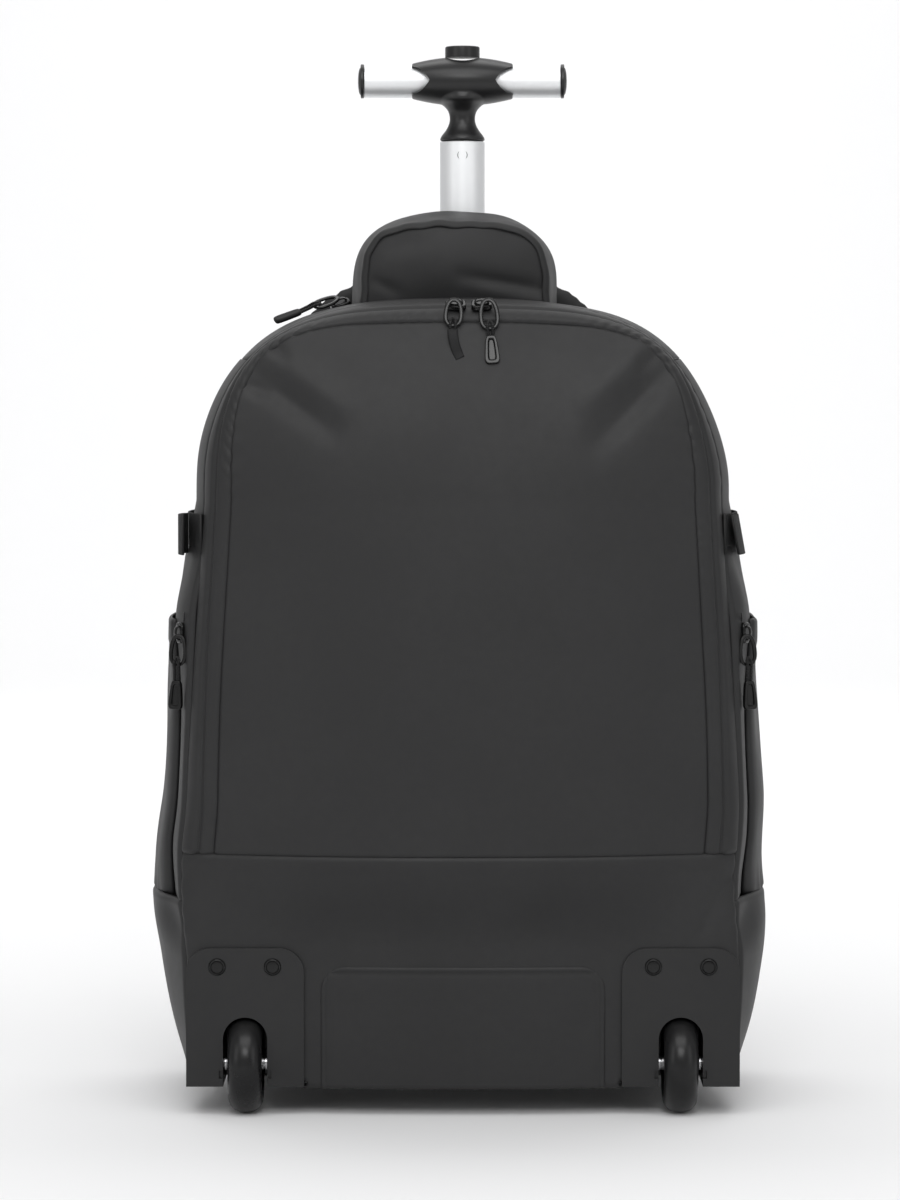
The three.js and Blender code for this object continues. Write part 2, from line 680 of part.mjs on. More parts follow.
function buildShoulderStraps() {
  const backFace = (z) => backDepth(z) + seamGap + backPad;
  const foot = baseHeight + strapWebFoot;
  for (const [name, side] of SIDES) {
    const line = STRAP.map((row) => {
      const z = row.up * backTop;
      return at(side * row.across * bodyHalfWidth, backFace(z) + strapGap + row.bow * strapBow, z);
    });
    add(`shoulder_strap_${name}`, CLOTH, band(line, strapWidth, strapPad, 12));
    const end = line[line.length - 1];
    const start = at(end.x, end.y, end.z - strapWebWidth / 2 - 2 * seatGap);
    const below = [1 / 3, 2 / 3, 1].map((share) => {
      const z = lerp(start.z, foot, share);
      return at(lerp(end.x, side * (backHalf(foot) - strapWebWidth), share), backFace(z) + seatGap, z);
    });
    const web = band([start, ...below], strapWebWidth, strapWebThickness, 6);
    add(`strap_webbing_${name}`, WEBBING, web);
  }
}

// A point of the hood's D outline. share runs from the hood's front at 0 to its band's rear edge at 1.
function hoodPoint(degrees, share) {
  const angle = THREE.MathUtils.degToRad(degrees);
  const power = 2 / lerp(3.3, 2.5, share);
  const top = hoodTop + hoodRise * share;
  const bend = lerp(bodyTop, top, 0.15);
  const half = (hoodHalfWidth + hoodFlare * share) * Math.cos(angle) ** power;
  const z = bend + (top - bend) * Math.sin(angle) ** power;
  return at(half + hoodLean, hoodFront + hoodReach * share, z);
}

// The hood stands on the roof: a D-shaped front and a band that runs back from its edge.
function buildHood() {
  const foot = bodyTop - hoodBase;
  const onFoot = (point) => at(point.x, point.y, foot);
  const angles = [0, 14, 28, 42, 56, 70, 84];
  const roof = closedGrid(
    moved(roofRows, (point) => inward(point).multiplyScalar(-seatGap)),
    moved(roofRows, (point) => inward(point).multiplyScalar(hoodBase + fabricWall + 2)));

  const across = steps(8).map((share) => Math.sin((share - 0.5) * Math.PI));
  const outline = [onFoot(hoodPoint(0, 0)), ...angles.map((angle) => hoodPoint(angle, 0))];
  const front = outline.map((edge, row) => {
    const half = edge.x - hoodLean - seamGap / 2;
    const swell = hoodSwell * Math.sin(row / (outline.length - 1) * Math.PI);
    const z = edge.z - (row ? seamGap / 2 : 0);
    return across.map((share) => at(hoodLean + half * share, edge.y - swell * (1 - share * share), z));
  });
  const back = () => at(0, 1, 0);
  add("hood_front", CLOTH, cut(skin(front, fabricWall, back), roof));

  const lap = 2; // the band starts this far in front of the hood's front panel
  const shares = [0, 0.35, 0.7, 1];
  const right = [shares.map((share) => onFoot(hoodPoint(0, share))),
    ...angles.map((angle) => shares.map((share) => hoodPoint(angle, share)))];
  const left = right.map((row) => row.map((point) => at(2 * hoodLean - point.x, point.y, point.z)));
  const rows = moved([...right, ...left.reverse()], () => at(0, -lap, 0));
  const inside = (point) => {
    const up = (point.z - foot) / (hoodTop - foot);
    return at(-(point.x - hoodLean) / hoodHalfWidth, 0, -(up ** 2)).normalize();
  };
  const clearance = closedGrid(
    moved(front, () => at(0, -2 * lap, 0)),
    moved(front, () => at(0, fabricWall + seatGap, 0)));
  add("hood_band", CLOTH, cut(skin(rows, fabricWall, inside), clearance, roof));
}

// A block across a wheel's place, from half widths, depths and heights.
const acrossWheel = (centre, half, yLow, yHigh, zLow, zHigh) => block(
  at(centre - half, yLow, zLow), at(centre + half, yHigh, zHigh));

// Each guard is a front plate with the wheel's slot, a sole under the bag and a well round the wheel.
function buildGuards() {
  const past = 5; // cutting tools run this far past what they cut
  const inFace = 0.5; // the sole and well reach this far into the plate
  const wellRear = axleY + wellRadius + wellWall;
  const wellTop = wheelRadius + wellRadius + wellWall;
  const wellHalf = slotHalf + wellWall;
  const rivetZ = guardTop - rivetDrop;
  const archTop = Math.sqrt(wellRadius ** 2 - axleY ** 2) + wheelRadius - slotHalf;
  for (const [name, side] of SIDES) {
    const centre = side * wheelTrack / 2;
    const outline = roundedTop(
      centre - guardWidth / 2, centre + guardWidth / 2, baseHeight, guardTop, guardCorner);
    const arch = roundedTop(
      centre - slotHalf, centre + slotHalf, baseHeight - past, archTop + slotHalf, slotHalf);
    const opening = plate(arch, -past, guardThickness + past + inFace, 8);
    const notchLow = baseHeight + notchHeight;
    const notch = acrossWheel(
      centre, slotHalf + notchWidth, -past, guardThickness - inFace / 2, notchLow, notchLow + notchHeight);
    const holes = [-1, 1].map((end) => turnedY(rod(rivetDiameter / 2 + seatGap, -1, guardThickness + 1))
      .translate(centre + end * rivetSpacing / 2, 0, rivetZ));
    const face = cut(plate(outline, 0, guardThickness), opening, notch, ...holes);

    const onAxle = (profile, sides) => turnedX(profile, sides).translate(centre, axleY, wheelRadius);
    const behindFace = guardThickness - inFace;
    const sole = acrossWheel(
      centre, guardWidth / 2, behindFace, guardReach, baseHeight, baseHeight + guardThickness);
    const wellBox = acrossWheel(centre, wellHalf, behindFace, wellRear + 1, baseHeight, wellTop + 1);
    const well = common(onAxle(rod(wellRadius + wellWall, -wellHalf, wellHalf), FINE_ROUND), wellBox);
    const hollow = onAxle(rod(wellRadius, -slotHalf, slotHalf), FINE_ROUND);
    const bore = onAxle(rod(axleDiameter / 2 + axleGap, -wellHalf - past, wellHalf + past));
    add(`wheel_guard_${name}`, PLASTIC, join(face, cut(join(sole, well), hollow, opening, bore)));
    buildRivets(name, side, centre, rivetZ);
    buildWheel(name, centre);
  }
}

function buildRivets(name, side, centre, z) {
  const radius = rivetDiameter / 2;
  const profile = [
    [0, -rivetHead], [radius - 1, -rivetHead], [radius, -rivetHead / 3], [radius, guardThickness],
    [0, guardThickness]];
  for (const [place, end] of [["outer", side], ["inner", -side]]) {
    const rivet = turnedY(profile).translate(centre + end * rivetSpacing / 2, 0, z);
    add(`rivet_${name}_${place}`, PLASTIC, rivet);
  }
}

// What the cloth leaves free for the guards' soles and wells.
function wheelWells() {
  const clear = seatGap + 0.2;
  const below = baseHeight - 5;
  const ahead = -10;
  const soleTop = baseHeight + guardThickness + clear;
  const wellHalf = slotHalf + wellWall + axleHead + 1.5;
  const wellRear = axleY + wellRadius + wellWall + clear;
  const wellTop = wheelRadius + wellRadius + wellWall + clear;
  return SIDES.flatMap(([, side]) => {
    const centre = side * wheelTrack / 2;
    return [
      acrossWheel(centre, guardWidth / 2 + clear, ahead, guardReach + clear, below, soleTop),
      acrossWheel(centre, wellHalf, ahead, wellRear, below, wellTop),
    ];
  });
}

// Both halves of a profile that is the same on either side of the wheel's middle.
const bothWays = (half) => [...half.map(([radius, along]) => [radius, -along]).reverse(), ...half];

function buildWheel(name, centre) {
  const wheel = new THREE.Group();
  wheel.position.set(centre, axleY, wheelRadius);
  backpack.add(wheel);

  const seat = hubWidth / 2 - 0.5;
  const crown = steps(8).map((share) => {
    const angle = (share - 0.5) * Math.PI;
    return [wheelRadius - tyreCrown * (1 - Math.cos(angle)), wheelWidth / 2 * Math.sin(angle)];
  });
  const tyre = [[coreRadius, -seat], ...crown, [coreRadius, seat], [coreRadius, -seat]];
  add(`tyre_${name}`, RUBBER, turnedX(tyre, FINE_ROUND), wheel);

  const bore = axleDiameter / 2 + axleGap;
  const rim = coreRadius - seatGap;
  const webHalf = 3;
  const coreHalf = [
    [rim, seat], [rim - 2.5, seat], [rim - 4, webHalf], [bore + 5, webHalf], [bore + 4, hubWidth / 2],
    [bore, hubWidth / 2]];
  const core = bothWays(coreHalf);
  add(`wheel_core_${name}`, PLASTIC, turnedX([...core, core[0]], COARSE_ROUND), wheel);

  const shaft = axleDiameter / 2;
  const collar = spacerDiameter / 2;
  const start = hubWidth / 2 + seatGap;
  const end = slotHalf - seatGap;
  const tip = slotHalf + wellWall + axleHead;
  const axle = bothWays([
    [shaft, start], [collar, start], [collar, end], [shaft, end], [shaft, tip], [0, tip]]);
  add(`axle_${name}`, STEEL, turnedX(axle, COARSE_ROUND), wheel);
}

function buildFeet() {
  const rear = ringDepth(RINGS.rear, baseHeight) - footInset;
  const half = footWidth / 2;
  const top = baseHeight - seatGap;
  const outline = [
    [-half + footChamfer, 0], [half - footChamfer, 0], [half, footChamfer], [half, top], [-half, top],
    [-half, footChamfer]];
  const shape = new THREE.Shape(outline.map(([x, z]) => new THREE.Vector2(x, z)));
  for (const [name, side] of SIDES) {
    const foot = plate(shape, rear - footDepth, footDepth).translate(side * footSpacing / 2, 0, 0);
    add(`rear_foot_${name}`, RUBBER, foot);
  }
}

// The guide tube in the bag and the collar round its mouth, which rests on the roof.
function buildHandleGuide() {
  const foot = baseHeight + fabricWall + seatGap;
  const seat = bodyTop + 1 + seatGap;
  const top = seat + collarThickness;
  const neck = bodyTop - fabricWall - 2;
  const flange = guideOuter + collarFlange;
  const chamfer = 1.5;
  const guide = turnedZ(pipe(guideOuter, guideInner, foot, neck - seatGap));
  add("guide_tube", ALUMINIUM, guide.translate(0, handleY, 0));
  const collar = [
    [guideInner, neck], [guideOuter, neck], [guideOuter, seat], [flange, seat], [flange, top - chamfer],
    [flange - chamfer, top], [guideInner, top], [guideInner, neck]];
  add("handle_collar", PLASTIC, turnedZ(collar).translate(0, handleY, 0));
}

function buildLiftHandle() {
  const handle = new THREE.Group();
  handle.position.set(0, handleY, 0);
  backpack.add(handle);
  const radius = liftTubeDiameter / 2;
  const screwZ = liftTubeTop - tubeScrewDrop;
  const screwSides = 16;
  const screwHole = turnedY(rod(tubeScrewDiameter / 2 + tubeScrewGap, -radius - 2, 0), screwSides)
    .translate(0, 0, screwZ);
  const tube = turnedZ(pipe(radius, radius - liftTubeWall, liftTubeTop - liftTubeLength, liftTubeTop));
  add("lift_tube", ALUMINIUM, cut(tube, screwHole), handle);
  const screw = turnedY(rod(tubeScrewDiameter / 2, -radius - 0.05, -plugRadius - 0.05), screwSides);
  add("tube_screw", STEEL, screw.translate(0, 0, screwZ), handle);

  const grip = new THREE.Group();
  grip.position.z = gripHeight;
  handle.add(grip);
  add("handle_hub", PLASTIC, cut(hubShape(), screwHole.translate(0, 0, -gripHeight)), grip);
  const half = crossTubeLength / 2;
  const tubeRadius = crossTubeDiameter / 2;
  add("cross_tube", ALUMINIUM, turnedX(rod(tubeRadius, -half, half)), grip);
  const start = half + seatGap;
  const rim = start + endCapRim;
  const capRadius = tubeRadius + 0.3;
  const cap = [
    [0, start], [capRadius, start], [capRadius, rim], [tubeRadius - 1.5, rim + 0.6 * endCapDome],
    [0.5 * tubeRadius, rim + 0.95 * endCapDome], [0, rim + endCapDome]];
  add("end_cap_right", PLASTIC, turnedX(cap), grip);
  add("end_cap_left", PLASTIC, turnedX(cap).rotateZ(Math.PI), grip);

  const buttonLow = tubeRadius + 0.5 + buttonTravel;
  const button = [
    [0, buttonLow], [buttonDiameter / 2, buttonLow], [buttonDiameter / 2, buttonRise - 1.2],
    [buttonDiameter / 2 - 1.2, buttonRise], [0, buttonRise]];
  add("release_button", PLASTIC, turnedZ(button), grip);
}

// A barrel round the cross tube with a notch at each end, on a waisted neck that plugs into the lift tube.
// Its middle is the cross tube's middle.
function hubShape() {
  const tall = hubHeight / 2;
  const barrelProfile = steps(8).map((share) => {
    const along = share * 2 - 1;
    return [lerp(tall, hubEndHeight / 2, along ** 2), along * hubHalfLength];
  });
  const barrel = turnedX([[0, -hubHalfLength], ...barrelProfile, [0, hubHalfLength]]);
  const notches = [-1, 1].map((end) => turnedY(rod(hubNotchRadius, -hubDepth, hubDepth))
    .translate(end * (hubHalfLength + hubNotchRadius - hubNotchDepth), 0, 0));
  const tubeRadius = liftTubeDiameter / 2;
  const waist = neckDiameter / 2;
  const foot = -gripRise;
  const neck = [
    [0, foot - neckPlug], [plugRadius, foot - neckPlug], [plugRadius, foot + seatGap],
    [tubeRadius, foot + seatGap], [tubeRadius, foot + 1.8], [tubeRadius - 2, foot + 4],
    [waist + 1.6, foot + 8], [waist, foot + 13], [waist, foot + 17], [waist + 1.2, foot + 20.5],
    [waist + 5, foot + 24.5], [waist + 9, foot + 26.5], [waist - 2, -tall * 0.4], [0, -tall * 0.4]];
  const tubeBore = crossTubeDiameter / 2;
  const socket = turnedZ(rod(buttonDiameter / 2 + buttonGap, tubeBore - 1.5, tall + buttonRise));
  const bore = turnedX(rod(tubeBore + gripFit, -2 * hubHalfLength, 2 * hubHalfLength));
  const body = join(barrel.scale(1, hubDepth / hubHeight, 1), turnedZ(neck));
  return cut(body, ...notches, socket, bore);
}

function buildCompressionStraps() {
  const edges = [webHeight - webWidth / 2, webHeight + webWidth / 2];
  const lift = webThickness + facetGap;
  const depths = steps(10).map((share) => lerp(webStart, bodyDepth - webRearInset, share));
  const strip = depths.map((y) => edges.map((z) => [z, y]));
  const stands = { right: loopStandRight, left: loopStandLeft };
  for (const [name, side] of SIDES) {
    add(`side_webbing_${name}`, WEBBING, sideStrip(side, strip, lift, webThickness));
    const rows = steps(10).map((share) => {
      const y = loopStart + share * loopLength;
      const seat = Math.max(...edges.map((z) => gussetHalfAt(z, y))) + lift + seatGap;
      const bow = stands[name] * Math.sin(share * Math.PI) ** 0.6;
      return edges.map((z) => at(side * (seat + webThickness + bow), y, z));
    });
    add(`web_loop_${name}`, WEBBING, skin(rows, webThickness, () => at(-side, 0, 0)));
  }
}

// An oblong with round ends, hanging from the origin, inset on all sides.
function oblong(width, length, inset) {
  const radius = width / 2 - inset;
  const shape = new THREE.Shape();
  shape.moveTo(radius, -width / 2);
  shape.absarc(0, -width / 2, radius, 0, 2 * rightAngle);
  shape.absarc(0, width / 2 - length, radius, 2 * rightAngle, 4 * rightAngle);
  shape.closePath();
  return shape;
}

// A pull hangs down its own -Z from the slider at its origin, with its outer face towards -Y.
function pullShape(cordLength) {
  const ring = oblong(ringWidth, ringLength, 0);
  ring.holes.push(oblong(ringWidth, ringLength, ringBar));
  const tabTop = -ringLength - cordLength;
  const corners = [
    [-tabTopWidth / 2, tabTop], [-tabEndWidth / 2, tabTop - tabLength], [tabEndWidth / 2, tabTop - tabLength],
    [tabTopWidth / 2, tabTop]];
  const tab = new THREE.Shape(corners.map(([x, z]) => new THREE.Vector2(x, z)));
  const cord = block(
    at(-cordThickness / 2, -cordThickness, tabTop - 2),
    at(cordThickness / 2, 0, -ringLength + ringBar));
  return join(
    plate(ring, -ringThickness, ringThickness, 4), cord, plate(tab, -tabThickness, tabThickness, 2));
}

// Turns -Z to down and -Y to the side of outward that stands square to it.
function frame(origin, down, outward) {
  const z = down.clone().negate().normalize();
  const y = outward.clone().addScaledVector(z, -outward.dot(z)).negate().normalize();
  return new THREE.Matrix4().makeBasis(y.clone().cross(z), y, z).setPosition(origin);
}

// The slider lies on the zip at origin, and its ring, cord and tab hang down clear of its outer face.
function addPull(name, { origin, outward, along, down, hang, cord }) {
  const seat = origin.clone().addScaledVector(outward.clone().normalize(), 2 * seatGap);
  const slider = block(
    at(-sliderWidth / 2, -sliderThickness, -sliderLength / 2),
    at(sliderWidth / 2, 0, sliderLength / 2)).applyMatrix4(frame(seat, along, outward));
  add(`zip_slider_${name}`, DARK_METAL, slider);
  const front = hang.clone().addScaledVector(down, -hang.dot(down) / down.lengthSq()).normalize();
  const corners = slider.attributes.position;
  const reach = Array.from({ length: corners.count }, (unused, index) => new THREE.Vector3()
    .fromBufferAttribute(corners, index).sub(seat).dot(front));
  const eye = seat.clone()
    .addScaledVector(front, Math.max(...reach) + seatGap)
    .addScaledVector(down.clone().normalize(), -ringOverlap);
  add(`zip_pull_${name}`, DARK_METAL, pullShape(cord).applyMatrix4(frame(eye, down, front)));
}

// The roof's skin where it stands x from the middle line.
function roofAt(x, share) {
  const angle = steps(90).map((part) => part * 90)
    .find((degrees) => gussetCurve({ angle: degrees }, share).x <= Math.abs(x));
  const point = gussetCurve({ angle }, share);
  return at(x, point.y, point.z);
}

// How steeply a pull leans forward, so that it hangs clear of the front panel below its slider's front edge.
function pullLean(eye, length) {
  const seamTop = RINGS.seam.top * bodyTop;
  const leans = steps(8).slice(1).map((share) => {
    const z = Math.min(eye.z - length * share, seamTop);
    const up = Math.max((z - shoulderHeight) / (seamTop - shoulderHeight), 0);
    const seamDepth = lerp(ringDepth(RINGS.seam, z), RINGS.seam.topY * bodyDepth, up * up);
    return (eye.y + pullGap - frontDepth(0, seamDepth, z)) / (length * share);
  });
  return Math.max(...leans);
}

function buildFrontPulls() {
  const top = { angle: ARCH_ANGLES[ARCH_ANGLES.length - 1] };
  const slope = bandCurve(top, zipPlace + 0.05).sub(bandCurve(top, zipPlace - 0.05));
  const outward = at(0, -slope.z, slope.y).normalize();
  const proud = bandCurve(top, zipPlace).addScaledVector(outward, zipThickness + seatGap);
  const forward = at(0, -outward.z, outward.y);
  const eye = proud.clone()
    .addScaledVector(outward, sliderThickness + 2 * seatGap)
    .addScaledVector(forward, sliderWidth / 2);
  for (const { name, across, roll, cord } of FRONT_PULLS) {
    const lean = pullLean(eye, ringLength - ringOverlap + cord + tabLength);
    addPull(name, {
      origin: at(across, proud.y, proud.z),
      outward,
      along: at(1, 0, 0),
      down: at(Math.tan(THREE.MathUtils.degToRad(roll)), -lean, -1),
      hang: at(0, -1, 0),
      cord,
    });
  }
}

function buildSidePulls() {
  const z = pocketTop - sliderLength;
  for (const [name, side] of SIDES) {
    const outward = at(side, -0.25, 0);
    addPull(`side_${name}`, {
      origin: at(side * (gussetHalfAt(z, sideZipY) + zipThickness + facetGap), sideZipY, z),
      outward,
      along: at(0, 0, -1),
      down: at(side * 0.1, 0, -1),
      hang: outward,
      cord: sidePullCord,
    });
  }
}

// The hood's zip ends on the roof, where its slider lies along the slope.
function buildHoodPull() {
  const besideHood = hoodLean - hoodHalfWidth - hoodFlare - 1;
  const ridge = 0.45; // share of the way back over the roof
  const high = roofAt(besideHood, ridge);
  const low = roofAt(besideHood - sliderLength, ridge);
  const slope = low.clone().sub(high);
  addPull("hood", {
    origin: high.clone().add(low).multiplyScalar(0.5),
    outward: at(slope.z, -0.1 * Math.abs(slope.x), -slope.x),
    along: slope,
    down: at(-1, -0.25, -0.36),
    hang: at(-0.36, -0.3, 1),
    cord: sidePullCord,
  });
}

const wells = wheelWells();
buildFrontPanel();
buildFrontBand();
buildFrontZip();
buildKickPanel(wells);
buildKickPatch();
buildSidePanels();
buildTopPanel();
buildLowerSides(wells);
buildSidePockets();
buildBasePanel(wells);
buildBackPanel();
buildShoulderStraps();
buildHood();
buildFeet();
buildGuards();
buildHandleGuide();
buildLiftHandle();
buildCompressionStraps();
buildFrontPulls();
buildSidePulls();
buildHoodPull();

// The origin is on the floor, under the middle of the whole object.
const box = new THREE.Box3().setFromObject(backpack, true);
backpack.position.set(-(box.min.x + box.max.x) / 2, -(box.min.y + box.max.y) / 2, -box.min.z);

export default backpack;
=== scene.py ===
"""The finish of a wheeled backpack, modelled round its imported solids.

The soft body's shapes are worked out in the bag's own millimetres: X across, Y from the front of the wheel
guards towards the wearer, Z up from the floor. placed() turns them into the frame's metres.
"""
import math
from collections import namedtuple

import bmesh
import bpy
import numpy as np
from mathutils import Matrix, Vector


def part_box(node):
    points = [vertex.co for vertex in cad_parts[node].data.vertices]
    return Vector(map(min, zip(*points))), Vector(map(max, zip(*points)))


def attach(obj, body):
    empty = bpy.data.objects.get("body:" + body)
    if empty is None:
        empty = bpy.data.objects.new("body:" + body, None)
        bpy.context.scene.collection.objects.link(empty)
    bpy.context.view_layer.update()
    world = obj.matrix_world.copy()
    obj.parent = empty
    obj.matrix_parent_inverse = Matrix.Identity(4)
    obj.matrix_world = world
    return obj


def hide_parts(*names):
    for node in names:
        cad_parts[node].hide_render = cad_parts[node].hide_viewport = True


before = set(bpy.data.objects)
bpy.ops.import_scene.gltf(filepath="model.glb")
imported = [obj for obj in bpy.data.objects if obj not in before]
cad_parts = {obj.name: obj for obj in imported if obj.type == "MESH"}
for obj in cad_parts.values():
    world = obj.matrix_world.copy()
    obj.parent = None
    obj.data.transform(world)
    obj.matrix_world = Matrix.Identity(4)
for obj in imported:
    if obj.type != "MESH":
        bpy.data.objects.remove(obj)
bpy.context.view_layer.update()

MM = 0.001
GUARD_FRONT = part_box("wheel_guard_right")[0].y

# Soft body
BASE = 18.0
CORNER_SEAM = 130.0
BELT = 160.0
SHOULDER = 374.0
ROOF = 499.0
HALF_WIDTH = 176.0
DEPTH = 184.0
WALL = 1.6
SEAM_GAP = 0.8
FRONT_CROWN = 20.0
KICK_CROWN = 5.0
ZIP_PLACE = 0.42

# Side pockets and lower sides
POCKET_TOP = 300.0
POCKET_MOUTH_HALF = 182.0
POCKET_FLOOR_HALF = 191.0
POCKET_FRONT = 50.0
SIDE_SWELL = 4.5
POCKET_REAR = 171.0
POCKET_HEM = 14.0
SIDE_ZIP_Y = 38.0

# Back panel and shoulder straps
BACK_TOP = 530.0
BACK_PAD = 9.0
BACK_SWELL = 3.2
BACK_CHANNEL = 26.0
BACK_SEAMS = (120, 235, 350, 450)
BACK_LEAN = -7.0
BACK_TOP_DEPTH = 165.0
STRAP_WIDTH = 58.0
STRAP_PAD = 11.0
STRAP_SWELL = 2.6
STRAP_BOW = 11.0
STRAP_WEB_WIDTH = 25.0
STRAP_WEB_FOOT = 63.0

# Hood
HOOD_HALF = 57.0
HOOD_TOP = 546.0
HOOD_FOOT = 491.0
HOOD_FRONT = 84.0
HOOD_REACH = 42.0
HOOD_RISE = 8.0
HOOD_FLARE = 6.5
HOOD_LEAN = -5.0
HOOD_SWELL = 5.0
HOOD_LAP = 2.0

# Handle, wheels and guards
HANDLE_Y = 149.0
BUTTON_TRAVEL = 4.0
GUIDE_RADIUS = 16.75
WHEEL_X = 133.0
WHEEL_WELL_HALF = 20.0
WHEEL_WELL_TOP = 67.0
GUARD_HALF = 36.5
GUARD_TOP = 103.0
GUARD_INNER = 97.0
GUARD_THICKNESS = 3.0
SOLE_TOP = 21.6
SOLE_REAR = 72.5

# Patch, compression straps and zips
PATCH_HALF = 86.0
PATCH_TOP = 91.0
PATCH_CORNER = 14.0
PATCH_STITCH = 3.2
WEB_HEIGHT = 354.5
WEB_WIDTH = 25.0
WEB_THICKNESS = 1.6
WEB_START = 26.0
WEB_END = 168.0
LOOP_START = 33.0
LOOP_LENGTH = 34.0
LOOP_STAND = {"right": (4.5, 0.18), "left": (9.0, 0.0)}
ZIP_WIDTH = 6.0
ZIP_SLOT_HALF = 2.5
ZIP_SLOT_DEPTH = 1.5
TOOTH_PITCH = 1.35
FRONT_SLIDER_Y = 26.3
FRONT_SLIDER_Z = 494.4
SIDE_SLIDER_Z = 293.5
RING_BAR = 2.3
TAB_LENGTH = 18.0

# The four rings that the body's panels are stretched between, from the front panel round to the back.
# HEIGHTS runs from the base at 0 to the shoulder at 1. Half widths are shares of HALF_WIDTH, depths of DEPTH.
HEIGHTS = (0, 0.09, 0.23, 0.4, 0.68, 0.8, 0.9, 1)
HALVES = {
    "seam": (0.849, 0.849, 0.849, 0.849, 0.838, 0.825, 0.813, 0.801),
    "edge": (0.932, 0.949, 0.96, 0.961, 0.935, 0.92, 0.905, 0.892),
    "side": (0.96, 0.98, 1, 0.98, 0.965, 1, 0.977, 0.935),
    "rear": (0.86, 0.9, 0.926, 0.943, 0.909, 0.898, 0.886, 0.864),
}
DEPTHS = {
    "seam": (0.022, 0.022, 0.022, 0.022, 0.033, 0.04, 0.047, 0.054),
    "edge": (0.033, 0.033, 0.046, 0.087, 0.12, 0.136, 0.15, 0.163),
    "side": (0.52, 0.52, 0.52, 0.52, 0.52, 0.52, 0.52, 0.52),
    "rear": (0.96, 0.985, 1, 1, 1, 0.985, 0.97, 0.957),
}
# How each ring goes over the top: shares of ROOF and DEPTH, and how square its arch is, 2 being an ellipse.
Arch = namedtuple("Arch", "top depth square")
ARCHES = {
    "seam": Arch(0.97, 0.12, 4.1),
    "edge": Arch(0.996, 0.272, 2.75),
    "side": Arch(1, 0.57, 2.7),
    "rear": Arch(1, 0.926, 2.5),
}
LOWER_SIDE_HEIGHTS = (0, 0.3, 0.55, 0.85, 1)
LOWER_SIDE_HALVES = (0.865, 0.935, 0.972, 0.998, 1)
POCKET_HEIGHTS = (0, 0.25, 0.6, 0.8, 1)
POCKET_NARROWING = (0, 0.22, 0.62, 0.85, 1)
STRAP_UP = (0.9, 0.82, 0.72, 0.6, 0.48, 0.36)
STRAP_ACROSS = (0.25, 0.32, 0.42, 0.53, 0.56, 0.53)
STRAP_BOWS = (0, 0.5, 0.9, 1, 0.7, 0)

# How the loaded bag has settled, and the creases of its panels, from start to end in X and Z
RIGHT_SHOULDER_SETTLES = 5.0
LEFT_SHOULDER_SETTLES = 1.6
BELT_LEAN = -3.0
Crease = namedtuple("Crease", "start end width height")
FRONT_CREASES = (
    Crease((-130, 455), (-78, 417), 8, -2.3),
    Crease((-118, 462), (-72, 432), 9, 1.5),
    Crease((130, 458), (80, 410), 9, -2.5),
    Crease((114, 465), (72, 434), 9, 1.7),
    Crease((-122, 476), (-108, 462), 4, -1.5),
    Crease((-135, 447), (-120, 440), 4, -1.4),
    Crease((123, 467), (108, 455), 4, -1.5),
    Crease((-60, 478), (-20, 470), 10, -0.9),
    Crease((30, 470), (70, 478), 10, -0.9),
)
FRONT_CREASE_DEPTH = 1.55
HOOD_CREASES = (
    Crease((-2, 514), (51, 505), 4.5, -1.8),
    Crease((4, 507), (50, 498), 5, 1.1),
    Crease((-56, 512), (-40, 503), 4, -1.2),
    Crease((-45, 530), (-20, 538), 6, -0.8),
)
KICK_CREASES = (
    Crease((165, 146), (143, 108), 5, -1.5),
    Crease((154, 146), (136, 112), 6, 1.0),
    Crease((-150, 146), (-120, 118), 7, -0.8),
    Crease((60, 150), (20, 112), 12, 0.7),
)
LOWER_SIDE_CREASES = (
    Crease((179, 131), (167, 105), 6, -2.4),
    Crease((186, 122), (179, 98), 6, 1.4),
)

RIGHT_ANGLE = math.pi / 2
SIDES = (("right", 1), ("left", -1))
BAG_MIDDLE = np.array([0, DEPTH / 2, 260])
HOOD_MIDDLE = np.array([HOOD_LEAN, HOOD_FRONT + 60, 480])


def lerp(low, high, share):
    return low + (high - low) * share


def smoothstep(value, low, high):
    share = np.clip((value - low) / (high - low), 0, 1)
    return share * share * (3 - 2 * share)


def placed(points):
    """The bag's millimetres as the frame's metres."""
    return np.asarray(points, float) * MM + np.array([0, GUARD_FRONT, 0])


def at(x, y, z):
    return np.stack(np.broadcast_arrays(x, y, z), axis=-1).astype(float)


def mirrored(points):
    return points * np.array([-1, 1, 1])


def unit(vectors):
    return vectors / np.maximum(np.linalg.norm(vectors, axis=-1, keepdims=True), 1e-9)


def column(heights, values):
    """A smooth curve through one column of a table, as a function of height."""
    heights = np.array(heights, float)
    values = np.array(values, float)
    slopes = np.gradient(values, heights)

    def value_at(height):
        height = np.clip(height, heights[0], heights[-1])
        low = np.clip(np.searchsorted(heights, height, side="right") - 1, 0, len(heights) - 2)
        span = heights[low + 1] - heights[low]
        share = (height - heights[low]) / span
        rest = 1 - share
        ends = rest * rest * (1 + 2 * share) * values[low] + share * share * (3 - 2 * share) * values[low + 1]
        return ends + span * share * rest * (rest * slopes[low] - share * slopes[low + 1])

    return value_at


HALF_AT = {name: column(HEIGHTS, shares) for name, shares in HALVES.items()}
DEPTH_AT = {name: column(HEIGHTS, shares) for name, shares in DEPTHS.items()}
LOWER_SIDE_AT = column(LOWER_SIDE_HEIGHTS, LOWER_SIDE_HALVES)
NARROWING_AT = column(POCKET_HEIGHTS, POCKET_NARROWING)


def height_share(z):
    return (z - BASE) / (SHOULDER - BASE)


